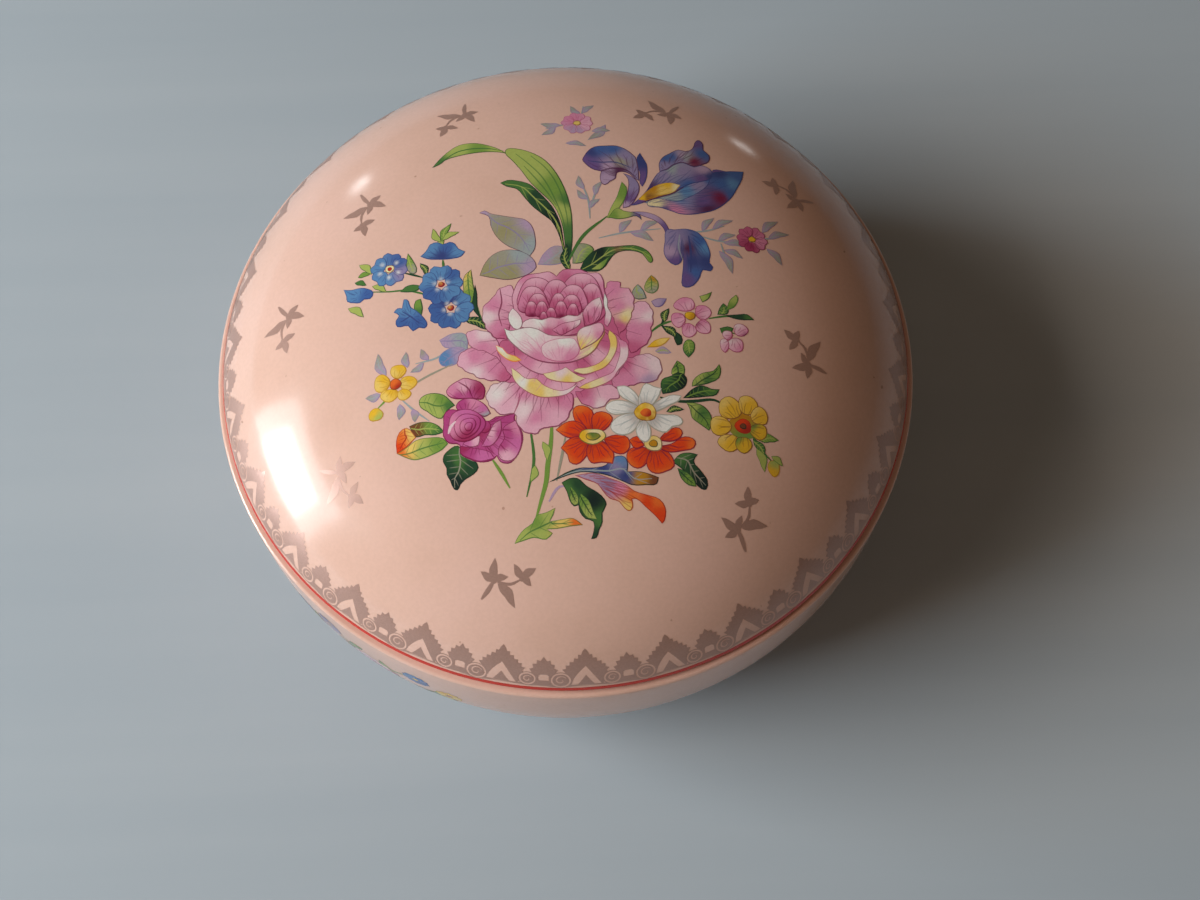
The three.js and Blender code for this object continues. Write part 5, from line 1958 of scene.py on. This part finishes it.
def make_camera():
    """Looks down at the middle of the seam, then turns a little off it and rolls."""
    back = Vector((0, -math.cos(CAMERA_ELEVATION), math.sin(CAMERA_ELEVATION)))
    right = Vector((1, 0, 0))
    up = Vector((0, math.sin(CAMERA_ELEVATION), math.cos(CAMERA_ELEVATION)))
    place = Vector((0, 0, SEAT * MM)) + back * CAMERA_DISTANCE
    right, back = turn_pair(right, back, CAMERA_YAW)
    up, back = turn_pair(up, back, CAMERA_PITCH)
    right, up = turn_pair(right, up, CAMERA_ROLL)
    camera = bpy.data.objects.new("camera", bpy.data.cameras.new("camera"))
    camera.data.lens = CAMERA_LENS
    camera.data.sensor_width = 36
    camera.data.clip_start = 0.01
    turn = Matrix((right, up, back)).transposed().to_4x4()
    camera.matrix_world = Matrix.Translation(place) @ turn
    bpy.context.scene.collection.objects.link(camera)
    bpy.context.scene.camera = camera


def soft_light(name, azimuth, elevation, distance, width, height, watts, colour, mirrored):
    """A panel that faces the jar, and is either mirrored in it or lights it.

    Its direction from the jar is in degrees, its distance and size are in metres.
    """
    light = bpy.data.lights.new(name, "AREA")
    light.shape = "RECTANGLE"
    light.size = width
    light.size_y = height
    light.energy = watts
    light.color = colour
    panel = bpy.data.objects.new(name, light)
    a, e = math.radians(azimuth), math.radians(elevation)
    target = Vector((0, 0, SEAT * MM))
    towards = Vector((math.cos(a) * math.cos(e), math.sin(a) * math.cos(e), math.sin(e)))
    panel.location = target + towards * distance
    panel.rotation_euler = towards.to_track_quat("Z", "Y").to_euler()
    panel.visible_glossy = mirrored
    panel.visible_diffuse = not mirrored
    bpy.context.scene.collection.objects.link(panel)


def make_light():
    """A low window at the left, seen in the glaze with a soft rim, and the light it gives.

    The wall above it, a faint fill in front and the dim room are warm. Two far small panes stand behind.
    """
    for share, wide, high, watts in ((0, 0.17, 0.18, 2.4), (0.01, 0.3, 0.33, 4), (0.02, 0.52, 0.58, 5.4)):
        soft_light(f"pane_{wide}", 185, 9.5, 0.95 + share, wide, high, watts, (0.92, 0.97, 1.0), True)
    soft_light("pane_behind_left", 123, 11, 1.2, 0.06, 0.08, 0.22, (0.97, 0.99, 1.0), True)
    soft_light("pane_behind_right", 62, 3, 1.2, 0.07, 0.03, 0.07, (1.0, 0.98, 0.95), True)
    soft_light("window", 186, 26, 1.2, 0.9, 0.3, 12.2, (0.61, 0.86, 1.0), False)
    soft_light("wall", 188, 36, 1.2, 0.9, 0.5, 10.5, (1.0, 0.79, 0.63), False)
    soft_light("front", 264, 8, 1.2, 0.6, 0.3, 0.8, (1.0, 0.84, 0.72), False)
    world = bpy.data.worlds.new("room")
    world.use_nodes = True
    room = world.node_tree.nodes["Background"]
    room.inputs["Color"].default_value = (1.0, 0.69, 0.46, 1)
    room.inputs["Strength"].default_value = 0.1
    bpy.context.scene.world = world


def make_floor():
    """A wide flat table top, a hair under the foot ring."""
    grid = np.linspace(-TABLE_HALF, TABLE_HALF, TABLE_STEPS + 1) * MM
    vertices = [(x, y, -TABLE_GAP * MM) for y in grid for x in grid]
    row = TABLE_STEPS + 1
    faces = [
        (i + j * row, i + 1 + j * row, i + 1 + (j + 1) * row, i + (j + 1) * row)
        for j in range(TABLE_STEPS)
        for i in range(TABLE_STEPS)
    ]
    mesh = bpy.data.meshes.new("table_top")
    mesh.from_pydata(vertices, [], faces)
    mesh.materials.append(table_top())
    floor = bpy.data.objects.new("table_top", mesh)
    bpy.context.scene.collection.objects.link(floor)


# ---------------------------------------------------------------- the jar

make_camera()
make_light()
make_floor()
bpy.context.scene.view_settings.view_transform = "Standard"

shell_materials = [peach_glaze(), white_glaze(), bare_porcelain()]

lid = lid_shell(shell_materials)
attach(lid, "lid")
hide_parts("jar_lid")

bowl = bowl_shell(shell_materials)
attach(bowl, "bowl")
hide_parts("jar_bowl")

bouquet_print = print_enamel("flower_print", 0.11, 0.18)
gold_print = print_enamel("gold_print", 0.28, 0.4, metal=0.35)
line_print = print_enamel("edge_line", 0.12, 0.2)

lay(bouquet(), "lid", bouquet_print, from_above)
lay(sprig_motif(), "lid", gold_print, at_sprig, len(SPRIGS))
lay(lace_motif(), "lid", gold_print, along_rim, LACE_COUNT)
edge_line(line_print)
lay(wall_spray(), "bowl", bouquet_print, on_wall, len(SPRAY_ANGLES))

# ---------------------------------------------------------------- end

bpy.context.view_layer.update()
